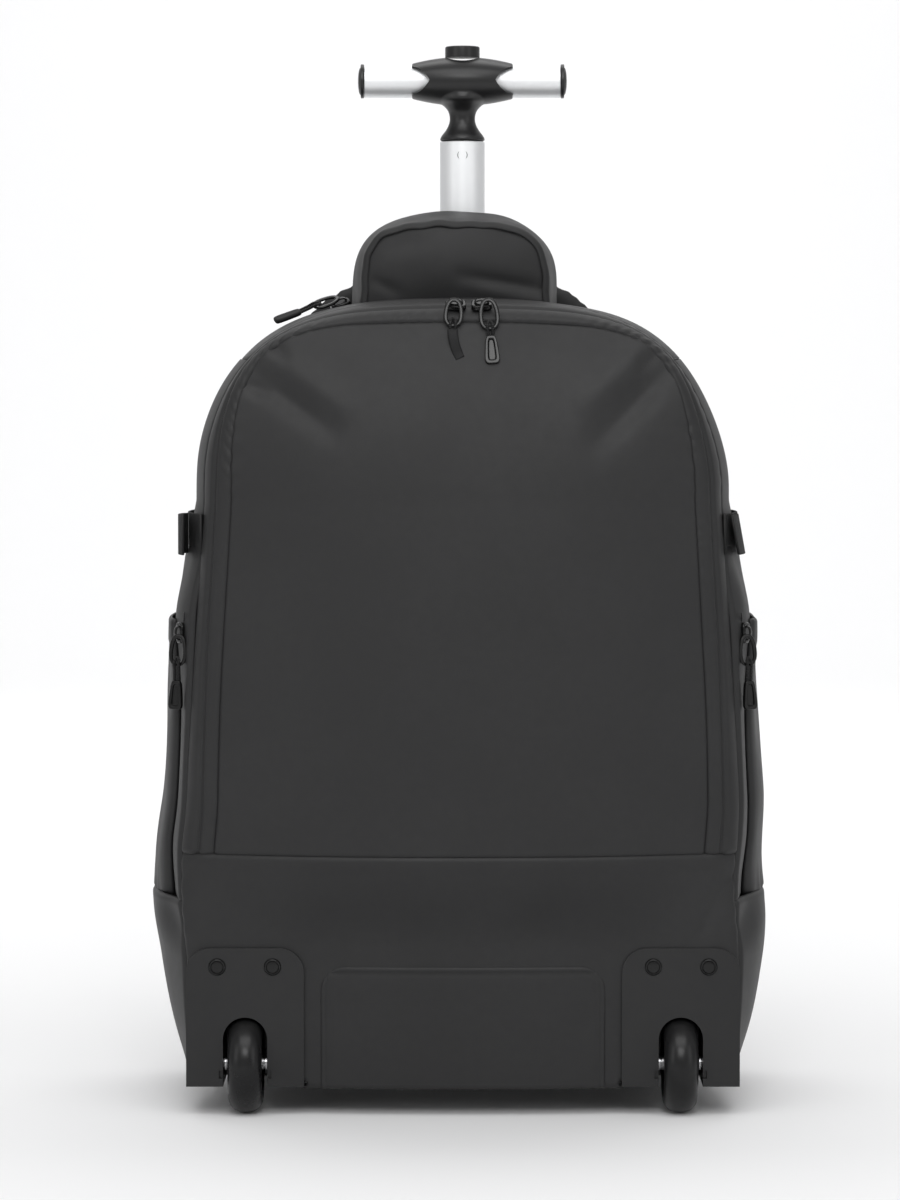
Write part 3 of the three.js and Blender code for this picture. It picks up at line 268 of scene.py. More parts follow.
def ring(name, station):
    """Points of a ring. A station is -1 at the base, 0 at the shoulder and 1 at the top of the arch."""
    station = np.asarray(station, float)
    height = np.clip(station + 1, 0, 1)
    angle = np.clip(station, 0, 1) * RIGHT_ANGLE
    arch = ARCHES[name]
    across = np.clip(np.cos(angle), 0, 1) ** (2 / arch.square)
    up = np.sin(angle) ** (2 / arch.square)
    depth = DEPTH * DEPTH_AT[name](height)
    return at(
        HALF_WIDTH * HALF_AT[name](height) * across,
        lerp(depth, arch.depth * DEPTH, up * up),
        lerp(lerp(BASE, SHOULDER, height), arch.top * ROOF, up))


def station_of(z):
    return height_share(z) - 1


def bezier(first, control, last, share):
    rest = 1 - share
    return first * rest * rest + control * 2 * rest * share + last * share * share


def through(first, middle, last, share):
    """The curve through three points, the middle one halfway along."""
    return bezier(first, 2 * middle - (first + last) / 2, last, share)


def band_curve(station, share):
    """The front band leaves the front panel's seam sideways, then turns back to the side panels."""
    seam = ring("seam", station)
    edge = ring("edge", station)
    corner = lerp(seam, edge, 0.8)
    corner[..., 1] = lerp(seam[..., 1], edge[..., 1], 0.1)
    return bezier(seam, corner, edge, np.asarray(share)[..., None])


def gusset_curve(station, share):
    """From the front band over the widest ring to the back seam."""
    return through(
        ring("edge", station), ring("side", station), ring("rear", station), np.asarray(share)[..., None])


def side_swell(y, z):
    """The fullness of the side panel round its zip, in front of the pocket."""
    below = 1 - smoothstep(z, 300, 340)
    return SIDE_SWELL * np.clip(1 - ((y - 44) / 34) ** 2, 0, 1) * below * smoothstep(z, 125, 170)


def gusset_half(z, y):
    """How far out the side panel stands at a height and depth."""
    station = station_of(np.asarray(z, float))
    front, middle, rear = (ring(name, station) for name in ("edge", "side", "rear"))
    control = 2 * middle - (front + rear) / 2
    a = front[..., 1] - 2 * control[..., 1] + rear[..., 1]
    b = 2 * (control[..., 1] - front[..., 1])
    c = front[..., 1] - y
    share = np.clip(-2 * c / (b + np.sqrt(np.maximum(b * b - 4 * a * c, 0))), 0, 1)
    return bezier(front[..., 0], control[..., 0], rear[..., 0], share) + side_swell(y, z)


def front_depth(x, z):
    """The stuffed front panel's skin."""
    seam_top = ARCHES["seam"].top * ROOF
    station = station_of(np.minimum(z, SHOULDER))
    height = np.clip(station + 1, 0, 1)
    up = np.clip((z - SHOULDER) / (seam_top - SHOULDER), 0, 1)
    half = HALF_WIDTH * HALF_AT["seam"](height) * (1 - up ** 4.1) ** (1 / 4.1)
    share = np.clip(np.abs(x) / np.maximum(half, 1), 0, 1)
    seam_depth = lerp(DEPTH * DEPTH_AT["seam"](height), ARCHES["seam"].depth * DEPTH, up * up)
    fullest = lerp(BELT, seam_top, 0.22)
    away = np.abs(z - fullest) / (seam_top - fullest)
    swell = FRONT_CROWN * np.clip(1 - away ** 3, 0, 1)
    return seam_depth - swell * (1 - share ** 2.4)


def kick_depth(x, z):
    """The kick panel: crowned between the guards, flat behind them, and rising to the belt seam."""
    seam = ring("seam", station_of(BELT))
    edge = ring("edge", station_of(BELT))
    low = ring("edge", station_of(np.minimum(z, GUARD_TOP)))
    across = np.abs(x)
    beyond = np.clip((across - seam[0]) / (edge[0] - seam[0]), 0, 1)
    middle = front_depth(np.minimum(across, seam[0]), BELT)
    belt = np.where(across < seam[0], middle, lerp(seam[1], edge[1], beyond ** 1.8))
    behind_guard = GUARD_THICKNESS + 0.3
    corner = np.clip((across - seam[0]) / (low[..., 0] - seam[0]), 0, None) ** 2
    crown = KICK_CROWN * np.clip(1 - (across / GUARD_INNER) ** 2, 0, 1)
    flat = behind_guard + np.clip(low[..., 1] - behind_guard, 0, None) * corner - crown
    return lerp(flat, belt, smoothstep(z, GUARD_TOP, BELT))


def lower_side_curve(z, share):
    front = ring("edge", station_of(z))
    rear = ring("rear", station_of(z))
    half = POCKET_FLOOR_HALF * LOWER_SIDE_AT((z - BASE) / (CORNER_SEAM - BASE))
    middle = at(half, (front[..., 1] + rear[..., 1]) / 2, z)
    return through(front, middle, rear, np.asarray(share)[..., None])


def back_half(z):
    return HALF_WIDTH * HALF_AT["rear"](height_share(z))


def back_depth(z):
    up = np.clip((z - SHOULDER) / (BACK_TOP - SHOULDER), 0, 1)
    depth = DEPTH * DEPTH_AT["rear"](np.clip(height_share(z), 0, 1))
    return lerp(depth, BACK_TOP_DEPTH, up ** 3) + SEAM_GAP


def hood_outline(angle, share):
    """The right half of the hood's D outline. share is 0 at its front and 1 at its band's rear edge."""
    power = 2 / lerp(3.3, 2.5, share)
    top = HOOD_TOP + HOOD_RISE * share
    bend = lerp(ROOF, top, 0.15)
    half = (HOOD_HALF + HOOD_FLARE * share) * np.clip(np.cos(angle), 0, 1) ** power
    return at(half, HOOD_FRONT + HOOD_REACH * share, bend + (top - bend) * np.sin(angle) ** power)


# How a grid of points becomes a piece of cloth

EDGE_STEPS = np.array([0, 0.15, 0.45, 0.9, 1.5, 2.2, 3.1])  # finer towards a rolled border


def spaced(length, spacing, fine=True):
    """Shares of a length, evenly spaced and finer towards both ends."""
    if not fine:
        return np.linspace(0, 1, max(int(round(length / spacing)), 2) + 1)
    inner = length - 2 * EDGE_STEPS[-1]
    middle = EDGE_STEPS[-1] + np.linspace(0, inner, max(int(round(inner / spacing)), 2) + 1)[1:-1]
    return np.concatenate([EDGE_STEPS, middle, length - EDGE_STEPS[::-1]]) / length


def length_along(points):
    steps = np.linalg.norm(np.diff(points, axis=0), axis=-1)
    return np.concatenate([[0], np.cumsum(steps)])


def resampled(points, shares):
    """Points at shares of a line's length."""
    along = length_along(points)
    places = np.asarray(shares) * along[-1]
    return np.stack([np.interp(places, along, values) for values in points.T], axis=-1)


def outline_stations(low, high, spacing, fine=False):
    """Stations from low to high, evenly spaced along the bag's outline."""
    towards_top = 1 - np.linspace(1, 0, 900) ** 4
    every = np.concatenate([np.linspace(-1, 0, 500)[:-1], towards_top])
    every = np.concatenate([[low], every[(every > low) & (every < high)], [high]])
    along = length_along((ring("seam", every) + ring("edge", every)) / 2)
    return np.interp(spaced(along[-1], spacing, fine) * along[-1], along, every)


def over_the_top(low, curve, shares, spacing):
    """Rows from one side of the bag over its top to the other, finer at both ends."""
    stations = outline_stations(low, 1, spacing)
    first_steps = spaced(40, 5)[:len(EDGE_STEPS)] * 40
    start = stations[0] + first_steps[1:] / (SHOULDER - BASE)
    stations = np.unique(np.concatenate([stations, start[start < 1]]))
    right = curve(stations[:, None], shares[None, :])
    return np.concatenate([right, mirrored(right[-2::-1])])


def filled(right, spacing):
    """A grid over a shape, from its right outline, which runs from the foot up to the top's middle."""
    height = right[:, 1] - right[0, 1]
    corner = int(np.argmax(right[:, 0] / right[:, 0].max() + height / height.max()))
    side = right[:corner + 1]
    top_right = right[corner:]
    top = np.concatenate([top_right * [-1, 1], top_right[-2::-1]])
    side_length = length_along(side)[-1]
    top_length = length_along(top)[-1]
    v = spaced(side_length, spacing)[:, None, None]
    u = spaced(top_length, spacing)[None, :, None]
    side = resampled(side, v[:, 0, 0])[:, None, :]
    top = resampled(top, u[0, :, 0])[None, :, :]
    foot = np.stack([lerp(-right[0, 0], right[0, 0], u[0, :, 0]), np.full(u.shape[1], right[0, 1])], axis=-1)
    foot_right = right[0]
    corner_right = right[corner]
    flip = np.array([-1, 1])
    corners = ((1 - u) * (1 - v) * foot_right * flip + u * (1 - v) * foot_right
               + (1 - u) * v * corner_right * flip + u * v * corner_right)
    return (1 - v) * foot[None] + v * top + (1 - u) * side * flip + u * side - corners


def grid_normals(grid, middle):
    """Normals that point away from middle, and whether the grid's rows and columns had to be swapped."""
    normals = unit(np.cross(np.gradient(grid, axis=1), np.gradient(grid, axis=0)))
    turned = np.sum(normals * (grid - middle)) < 0
    return (-normals if turned else normals), turned


def border_distance(grid, border):
    """How far each point is from one border of its grid, along the grid."""
    axis = 0 if border in ("first_row", "last_row") else 1
    steps = np.linalg.norm(np.diff(grid, axis=axis), axis=-1)
    along = np.insert(np.cumsum(steps, axis=axis), 0, 0, axis=axis)
    if border.startswith("first"):
        return along
    return np.take(along, [-1], axis=axis) - along


BORDERS = ("first_row", "last_row", "first_column", "last_column")
BORDERS_BUT_LAST_ROW = ("first_row", "first_column", "last_column")
ROLL_WIDTH = 2.0
ROLL_DEPTH = 2.4


def rolled(grid, normals, borders, width=ROLL_WIDTH, depth=ROLL_DEPTH):
    """Turns a panel's borders into its seams."""
    sunk = grid.copy()
    for border in borders:
        reach = np.clip(1 - border_distance(grid, border) / width, 0, 1)
        sunk -= normals * (depth * (1 - np.sqrt(1 - reach ** 2)))[..., None]
    return sunk


def ripple(points, scale, seed, waves=9):
    """A smooth random height from -1 to 1, the same on each run."""
    random = np.random.default_rng(seed)
    total = 0
    for _ in range(waves):
        direction = unit(random.normal(size=3)) * 2 * math.pi / (scale * random.uniform(0.7, 1.6))
        total = total + np.sin(points @ direction + random.uniform(0, 2 * math.pi))
    return total / math.sqrt(waves * 2)


def grid_faces(rows, columns, turned):
    corner = (np.arange(rows - 1)[:, None] * columns + np.arange(columns - 1)[None, :]).ravel()
    faces = np.stack([corner, corner + 1, corner + columns + 1, corner + columns], axis=-1)
    return faces[:, ::-1] if turned else faces


def new_piece(name, points, faces, finish, replaces=(), body="bag", surface=None):
    """A mesh in the frame's metres that rides on a body. surface holds each point's place on its cloth, in
    millimetres, for patterns that follow it."""
    mesh = bpy.data.meshes.new(name)
    mesh.from_pydata(np.asarray(points).tolist(), [], [list(face) for face in faces])
    if surface is not None:
        layer = mesh.uv_layers.new(name="surface")
        corners = np.zeros(len(mesh.loops), int)
        mesh.loops.foreach_get("vertex_index", corners)
        layer.data.foreach_set("uv", surface[corners].astype(np.float32).ravel())
    mesh.shade_smooth()
    mesh.materials.append(finish)
    piece = bpy.data.objects.new(name, mesh)
    bpy.context.scene.collection.objects.link(piece)
    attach(piece, body)
    if replaces:
        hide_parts(*replaces)
    return piece


def baked(piece):
    """The piece's mesh with its modifiers applied."""
    bpy.context.view_layer.update()
    seen = piece.evaluated_get(bpy.context.evaluated_depsgraph_get())
    return bpy.data.meshes.new_from_object(seen)


def cloth(name, grid, finish, replaces=(), middle=BAG_MIDDLE, borders=BORDERS, relief=None, wall=WALL,
          left_out=None, roll_width=ROLL_WIDTH, roll_depth=ROLL_DEPTH):
    """A panel with a wall, its borders rolled into the seams. relief gives the height of its folds, from its
    points and their distances across and along the cloth."""
    normals, turned = grid_normals(grid, middle)
    across = border_distance(grid, "first_column")
    along = border_distance(grid, "first_row")
    if relief is not None:
        grid = grid + normals * relief(grid, across, along)[..., None]
    grid = rolled(grid, normals, borders, roll_width, roll_depth)
    rows, columns = grid.shape[:2]
    surface = np.stack([across, along], axis=-1).reshape(-1, 2) * MM
    faces = grid_faces(rows, columns, not turned)
    points = grid.reshape(-1, 3)
    if left_out is not None:
        faces = faces[~left_out(points[faces].mean(axis=1))]
        used = np.unique(faces)
        index = np.zeros(len(points), int)
        index[used] = np.arange(len(used))
        points, surface, faces = points[used], surface[used], index[faces]
    piece = new_piece(name, placed(slumped(points)), faces, finish, replaces, "bag", surface)
    solid = piece.modifiers.new("wall", "SOLIDIFY")
    solid.thickness = wall * MM
    solid.offset = -1
    return piece


def near(value, middle, reach):
    """1 in the middle, falling to 0 one reach away."""
    return np.clip(1 - ((value - middle) / reach) ** 2, 0, 1) ** 2


def slumped(points):
    """How the loaded bag leans and settles out of its cut shape."""
    points = np.asarray(points, float)
    x = points[..., 0]
    z = points[..., 2]
    right_shoulder = RIGHT_SHOULDER_SETTLES * near(z, 446, 62) * smoothstep(x, 60, 160)
    left_shoulder = LEFT_SHOULDER_SETTLES * near(z, 446, 50) * smoothstep(-x, 60, 160)
    belt = BELT_LEAN * near(z, 142, 52)
    return points + at(left_shoulder + belt - right_shoulder, 0, 0)


def crumple(points, height, scale, seed):
    """Soft unevenness of a stuffed cloth."""
    return height * ripple(points, scale, seed)


def crease(grid, start, end, width):
    """1 along a crease that runs from start to end in X and Z, fading at its ends and away from it."""
    start = np.array(start, float)
    run = np.array(end, float) - start
    place = grid[..., [0, 2]] - start
    share = (place @ run) / (run @ run)
    away = np.linalg.norm(place - np.clip(share, 0, 1)[..., None] * run, axis=-1)
    return np.exp(-(away / width) ** 2) * near(share, 0.5, 0.85)


def creased(grid, creases):
    return sum(crease(grid, fold.start, fold.end, fold.width) * fold.height for fold in creases)


def puckers(across, along, reach, pitch, height, seed):
    """Gathers that cross a seam and fade one reach away from it."""
    wander = ripple(at(along, 0, 0), pitch * 6, seed)
    strength = np.clip(0.5 + 0.8 * ripple(at(0, along, 0), pitch * 5, seed + 1), 0, 1)
    fade = np.clip(1 - across / reach, 0, 1) ** 1.5
    return height * np.sin(2 * math.pi * along / pitch + 2.5 * wander) * strength * fade


# Finishes

def add_node(tree, kind, settings=None, **inputs):
    """A node with its settings and inputs, where an input is a value or another node's output."""
    node = tree.nodes.new(kind)
    for name, value in (settings or {}).items():
        setattr(node, name, value)
    for name, value in inputs.items():
        socket = node.inputs[int(name[1:])] if name[0] == "_" else node.inputs[name.replace("_", " ")]
        if isinstance(value, bpy.types.NodeSocket):
            tree.links.new(value, socket)
        else:
            socket.default_value = value
    return node


def math_node(tree, operation, *values):
    return add_node(tree, "ShaderNodeMath", {"operation": operation},
                    **{f"_{index}": value for index, value in enumerate(values)}).outputs[0]


def effect_group(name, inputs, outputs):
    """An empty group of nodes with named inputs and outputs."""
    group = bpy.data.node_groups.new(name, "ShaderNodeTree")
    for label, default in inputs.items():
        kind = "NodeSocketVector" if isinstance(default, tuple) else "NodeSocketFloat"
        socket = group.interface.new_socket(name=label, in_out="INPUT", socket_type=kind)
        if kind == "NodeSocketFloat":
            socket.default_value = default
    for label in outputs:
        group.interface.new_socket(name=label, in_out="OUTPUT", socket_type="NodeSocketFloat")
    return group, group.nodes.new("NodeGroupInput").outputs, group.nodes.new("NodeGroupOutput")


def build_grain():
    """Fine pebbled grain over a slower unevenness."""
    group, given, out = effect_group("grain", {"Place": (), "Size": 0.001, "Unevenness": 0.3}, ["Height"])
    scale = math_node(group, "DIVIDE", 1.0, given["Size"])
    fine = add_node(group, "ShaderNodeTexNoise", Vector=given["Place"], Scale=scale, Detail=2.0,
                    Roughness=0.6)
    slow_scale = math_node(group, "MULTIPLY", scale, 0.09)
    slow = add_node(group, "ShaderNodeTexNoise", Vector=given["Place"], Scale=slow_scale, Detail=3.0)
    swell = math_node(group, "MULTIPLY", slow.outputs["Fac"], given["Unevenness"])
    group.links.new(math_node(group, "ADD", fine.outputs["Fac"], swell), out.inputs["Height"])
    return group


def build_weave():
    """Ribs across a woven tape, crossed by its finer warp."""
    group, given, out = effect_group("weave", {"Surface": (), "Pitch": 0.0012, "Warp": 0.5},
                                     ["Height", "Thread"])
    split = add_node(group, "ShaderNodeSeparateXYZ", Vector=given["Surface"])
    turn = math_node(group, "DIVIDE", 2 * math.pi, given["Pitch"])
    across = math_node(group, "SINE", math_node(group, "MULTIPLY", split.outputs["X"], turn))
    along = math_node(group, "SINE", math_node(group, "MULTIPLY", split.outputs["Y"], turn))
    crossed = math_node(group, "MULTIPLY", across, along)
    ribs = math_node(group, "ABSOLUTE", along)
    height = math_node(group, "ADD", ribs, math_node(group, "MULTIPLY", crossed, given["Warp"]))
    group.links.new(height, out.inputs["Height"])
    group.links.new(math_node(group, "MULTIPLY_ADD", crossed, 0.5, 0.5), out.inputs["Thread"])
    return group


def build_wear():
    """Where hands and floors have rubbed: slow blotches broken up by fine scuffs."""
    group, given, out = effect_group("handling", {"Place": (), "Size": 0.08, "Amount": 0.5}, ["Mask"])
    scale = math_node(group, "DIVIDE", 1.0, given["Size"])
    blotch = add_node(group, "ShaderNodeTexNoise", Vector=given["Place"], Scale=scale, Detail=4.0,
                      Roughness=0.55)
    scuff_scale = math_node(group, "MULTIPLY", scale, 14.0)
    scuff = add_node(group, "ShaderNodeTexNoise", Vector=given["Place"], Scale=scuff_scale, Detail=3.0)
    both = math_node(group, "MULTIPLY", blotch.outputs["Fac"],
                     math_node(group, "ADD", scuff.outputs["Fac"], 0.5))
    ranged = add_node(group, "ShaderNodeMapRange", {"clamp": True}, Value=both, From_Min=0.38, From_Max=0.72)
    group.links.new(math_node(group, "MULTIPLY", ranged.outputs[0], given["Amount"]), out.inputs["Mask"])
    return group


def build_dust():
    """Pale dust that settles on what faces up."""
    group, given, out = effect_group("settled_dust", {"Place": (), "Amount": 0.2}, ["Mask"])
    facing = add_node(group, "ShaderNodeNewGeometry")
    up = add_node(group, "ShaderNodeSeparateXYZ", Vector=facing.outputs["Normal"]).outputs["Z"]
    lying = add_node(group, "ShaderNodeMapRange", {"clamp": True}, Value=up, From_Min=0.2, From_Max=1.0)
    specks = add_node(group, "ShaderNodeTexNoise", Vector=given["Place"], Scale=900.0, Detail=2.0)
    mask = math_node(group, "MULTIPLY", lying.outputs[0], specks.outputs["Fac"])
    group.links.new(math_node(group, "MULTIPLY", mask, given["Amount"]), out.inputs["Mask"])
    return group


GRAIN = build_grain()
WEAVE = build_weave()
WEAR = build_wear()
DUST = build_dust()


def use(tree, group, **inputs):
    node = add_node(tree, "ShaderNodeGroup", {"node_tree": group})
    for name, value in inputs.items():
        socket = node.inputs[name]
        if isinstance(value, bpy.types.NodeSocket):
            tree.links.new(value, socket)
        else:
            socket.default_value = value
    return node


def finish(slot, colour, worn_colour, roughness, roughness_worn, grain_size, grain_depth, metallic=0.0,
           wear_size=0.08, wear=0.5, dust=0.15, specular=0.5, weave_pitch=None,
           weave_depth=0.0):
    """A finish from its colours, its grain and how it wears."""
    material = bpy.data.materials.new(f"{slot}_finish")
    material.use_nodes = True
    tree = material.node_tree
    shader = tree.nodes["Principled BSDF"]
    place = add_node(tree, "ShaderNodeTexCoord")
    here = place.outputs["Object"]
    rubbed = use(tree, WEAR, Place=here, Size=wear_size, Amount=wear).outputs["Mask"]
    dusty = use(tree, DUST, Place=here, Amount=dust).outputs["Mask"]
    worn = add_node(tree, "ShaderNodeMix", {"data_type": "RGBA"}, Factor=rubbed)
    worn.inputs[6].default_value = (*colour, 1)
    worn.inputs[7].default_value = (*worn_colour, 1)
    dulled = add_node(tree, "ShaderNodeMix", {"data_type": "RGBA"}, Factor=dusty)
    tree.links.new(worn.outputs[2], dulled.inputs[6])
    dulled.inputs[7].default_value = (0.35, 0.34, 0.33, 1)
    tree.links.new(dulled.outputs[2], shader.inputs["Base Color"])
    rough = add_node(tree, "ShaderNodeMapRange", Value=rubbed, To_Min=roughness, To_Max=roughness_worn)
    tree.links.new(rough.outputs[0], shader.inputs["Roughness"])
    shader.inputs["Metallic"].default_value = metallic
    shader.inputs["Specular IOR Level"].default_value = specular
    grain = use(tree, GRAIN, Place=here, Size=grain_size)
    bump = add_node(tree, "ShaderNodeBump", Strength=1.0, Distance=grain_depth,
                    Height=grain.outputs["Height"])
    if weave_pitch:
        surface = add_node(tree, "ShaderNodeUVMap", {"uv_map": "surface"})
        weave = use(tree, WEAVE, Surface=surface.outputs["UV"], Pitch=weave_pitch)
        woven = add_node(tree, "ShaderNodeBump", Strength=1.0, Distance=weave_depth,
                         Height=weave.outputs["Height"], Normal=bump.outputs["Normal"])
        tree.links.new(woven.outputs["Normal"], shader.inputs["Normal"])
        threads = add_node(tree, "ShaderNodeMapRange", Value=weave.outputs["Thread"], To_Min=0.75,
                           To_Max=1.25)
        shaded = add_node(tree, "ShaderNodeMix", {"data_type": "RGBA", "blend_type": "MULTIPLY"}, Factor=1.0)
        tree.links.new(dulled.outputs[2], shaded.inputs[6])
        tree.links.new(threads.outputs[0], shaded.inputs[7])
        tree.links.new(shaded.outputs[2], shader.inputs["Base Color"])
    else:
        tree.links.new(bump.outputs["Normal"], shader.inputs["Normal"])
    return material


COATED = finish("coated_cloth", (0.0135, 0.0135, 0.014), (0.018, 0.018, 0.0185), 0.56, 0.48,
                0.0006, 0.00004, dust=0.03, specular=0.36)
LINING = finish("lining", (0.02, 0.02, 0.021), (0.03, 0.03, 0.03), 0.8, 0.7, 0.0005, 0.00005)
WEBBING = finish("webbing", (0.01, 0.01, 0.0105), (0.016, 0.016, 0.016), 0.7, 0.6, 0.0004, 0.00003,
                 weave_pitch=0.0022, weave_depth=0.0006, specular=0.3)
ZIP_TAPE = finish("zip_tape", (0.006, 0.006, 0.0065), (0.01, 0.01, 0.01), 0.7, 0.6, 0.0004, 0.00003,
                  specular=0.2)
PLASTIC = finish("moulded_plastic", (0.008, 0.008, 0.0085), (0.013, 0.013, 0.013), 0.36, 0.32,
                 0.0004, 0.00002, dust=0.03, specular=0.42)
ALUMINIUM = finish("satin_aluminium", (0.9, 0.91, 0.92), (0.85, 0.86, 0.87), 0.5, 0.54,
                   0.0003, 0.000004, metallic=1.0, dust=0.0)
STEEL = finish("axle_steel", (0.6, 0.6, 0.61), (0.45, 0.45, 0.46), 0.25, 0.35, 0.0004, 0.00001,
               metallic=1.0, dust=0.0)
BLACK_METAL = finish("black_metal", (0.003, 0.003, 0.003), (0.008, 0.008, 0.008), 0.17, 0.24,
                     0.0004, 0.000005, dust=0.01, specular=0.3)
TREAD = finish("wheel_tread", (0.005, 0.005, 0.0055), (0.012, 0.012, 0.012), 0.27, 0.34,
               0.0006, 0.000006, dust=0.02, specular=0.3)
RUBBER = finish("foot_rubber", (0.007, 0.007, 0.0075), (0.012, 0.012, 0.012), 0.6, 0.7,
                0.0005, 0.00004, dust=0.05, specular=0.25)


# Soft body

def build_front_panel():
    stations = outline_stations(station_of(BELT + SEAM_GAP / 2), 1, 1.5)
    outline = ring("seam", stations)[:, [0, 2]]
    flat = filled(outline, 2.6)
    x = flat[..., 0] * (1 - SEAM_GAP / 2 / outline[0, 0])
    z = flat[..., 1] - SEAM_GAP / 2 * smoothstep(flat[..., 1], SHOULDER, ROOF)

    def relief(grid, across, along):
        edge = np.minimum(across, across[:, -1:] - across)
        gathers = puckers(edge, along, 16, 13, 0.5, 31) * smoothstep(z, 330, 420)
        return FRONT_CREASE_DEPTH * creased(grid, FRONT_CREASES) + gathers + crumple(grid, 0.45, 95, 3)

    cloth("front_panel_cover", at(x, front_depth(x, z), z), COATED, ["front_panel"], relief=relief)


def build_front_band():
    low = station_of(BELT + SEAM_GAP / 2)
    rows = over_the_top(low, band_curve, lerp(0.015, 0.985, spaced(30, 1)), 2.2)

    def relief(grid, across, along):
        share = across / across[:, -1:]
        slot = ZIP_SLOT_DEPTH * np.exp(-((share - ZIP_PLACE) * across[:, -1:] / ZIP_SLOT_HALF) ** 4)
        upper = smoothstep(grid[..., 2], 320, 400)
        inner_strip = puckers(across, along, 13, 8, 0.75, 5) * lerp(0.25, 1, upper)
        outer_strip = puckers(across[:, -1:] - across, along, 9, 11, 0.4, 8) * upper
        return inner_strip + outer_strip - slot

    cloth("front_band_cover", rows, COATED, ["front_band"], relief=relief)


def build_kick_panel():
    z = lerp(BASE, BELT - SEAM_GAP / 2, spaced(BELT - BASE, 2.6))[:, None]
    across = spaced(2 * HALF_WIDTH, 2.6)[None, :] * 2 - 1
    half = ring("edge", station_of(z))[..., 0] - SEAM_GAP
    x = across * half

    def relief(grid, across, along):
        free = 1 - near(grid[..., 2], PATCH_TOP - 40, 60) * (np.abs(grid[..., 0]) < PATCH_HALF + 6)
        edge = np.minimum(across, across[:, -1:] - across)
        hem = 0.5 * smoothstep(grid[..., 2], BELT - 8.5, BELT - 7)
        sides = puckers(edge, along, 10, 12, 0.6, 12) * smoothstep(grid[..., 2], GUARD_TOP, GUARD_TOP + 10)
        return creased(grid, KICK_CREASES) + crumple(grid, 0.35, 80, 4) * free + hem + sides

    cloth("kick_panel_cover", at(x, kick_depth(x, z), z), COATED, ["kick_panel"], left_out=in_wheel_well,
          relief=relief)


def in_wheel_well(points):
    """Where a well or a guard's sole takes the place of the cloth."""
    across = np.abs(np.abs(points[:, 0]) - WHEEL_X)
    well = (across < WHEEL_WELL_HALF) & (points[:, 2] < WHEEL_WELL_TOP) & (points[:, 1] < 54)
    sole = (across < GUARD_HALF) & (points[:, 2] < SOLE_TOP) & (points[:, 1] < SOLE_REAR)
    return well | sole


def build_patch():
    """The bare patch: its sides and rounded top corners follow the kick panel's crown."""
    angles = np.linspace(0, RIGHT_ANGLE, 12)
    corner_x = PATCH_HALF - PATCH_CORNER + PATCH_CORNER * np.cos(angles)
    corner_z = PATCH_TOP - PATCH_CORNER + PATCH_CORNER * np.sin(angles)
    right = np.concatenate([
        [[PATCH_HALF, BASE]], np.stack([corner_x, corner_z], axis=-1), [[0, PATCH_TOP]]])
    flat = filled(right, 2.5)
    x, z = flat[..., 0], flat[..., 1]
    grid = at(x, kick_depth(x, z) - 1.5, z)

    def relief(grid, across, along):
        rim = np.minimum(PATCH_HALF - np.abs(x), PATCH_TOP - z)
        return -0.9 * np.exp(-((rim - PATCH_STITCH) / 1.2) ** 2)

    cloth("kick_patch_cover", grid, COATED, ["kick_patch"], roll_width=1.2, roll_depth=0.8, wall=1.1,
          relief=relief)


def build_gussets():
    top = 38 / 90
    stations = outline_stations(station_of(CORNER_SEAM + SEAM_GAP), top - 0.004, 2.6, True)
    shares = lerp(0.01, 0.995, spaced(175, 2.8))
    rows = gusset_curve(stations[:, None], shares[None, :])

    def relief(grid, across, along):
        front = np.exp(-(across / 30) ** 2)
        streaks = 1.0 * np.sin(across / 7 + 0.8 * ripple(grid, 60, 21)) * near(grid[..., 2], 325, 40) * front
        gathers = puckers(across, along, 10, 9, 0.35, 23) * smoothstep(grid[..., 2], 300, 380)
        swell = side_swell(grid[..., 1], grid[..., 2])
        return crumple(grid, 1.5, 100, 22) * smoothstep(across, 45, 80) + streaks + gathers + swell

    for name, side in SIDES:
        grid = rows if side > 0 else mirrored(rows)
        cloth(f"side_panel_{name}_cover", grid, COATED, [f"side_panel_{name}"], relief=relief,
              borders=BORDERS_BUT_LAST_ROW)
    roof = outline_stations(top, 1, 2.6)
    right = gusset_curve(roof[:, None], shares[None, :])
    rows = np.concatenate([right, mirrored(right[-2::-1])])

    def round_guide(points):
        return np.hypot(points[:, 0], points[:, 1] - HANDLE_Y) < GUIDE_RADIUS + 1.5

    def roof_relief(grid, across, along):
        return crumple(grid, 0.9, 70, 25) * smoothstep(np.minimum(across, across[:, -1:] - across), 2, 25)

    cloth("top_panel_cover", rows, COATED, ["top_panel"], left_out=round_guide, relief=roof_relief,
          borders=("first_column", "last_column"))


def build_lower_sides():
    z = lerp(BASE, CORNER_SEAM, spaced(CORNER_SEAM - BASE, 2.8))
    shares = lerp(0.01, 0.995, spaced(200, 2.8))
    rows = lower_side_curve(z[:, None], shares[None, :])

    def relief(grid, across, along):
        folds = creased(np.abs(grid), LOWER_SIDE_CREASES) * np.exp(-((grid[..., 1] - 40) / 45) ** 2)
        return folds + crumple(grid, 0.9, 75, 27) * smoothstep(across, 2, 30)

    for name, side in SIDES:
        grid = rows if side > 0 else mirrored(rows)
        cloth(f"lower_side_{name}_cover", grid, COATED, [f"lower_side_{name}"], left_out=in_wheel_well,
              relief=relief)


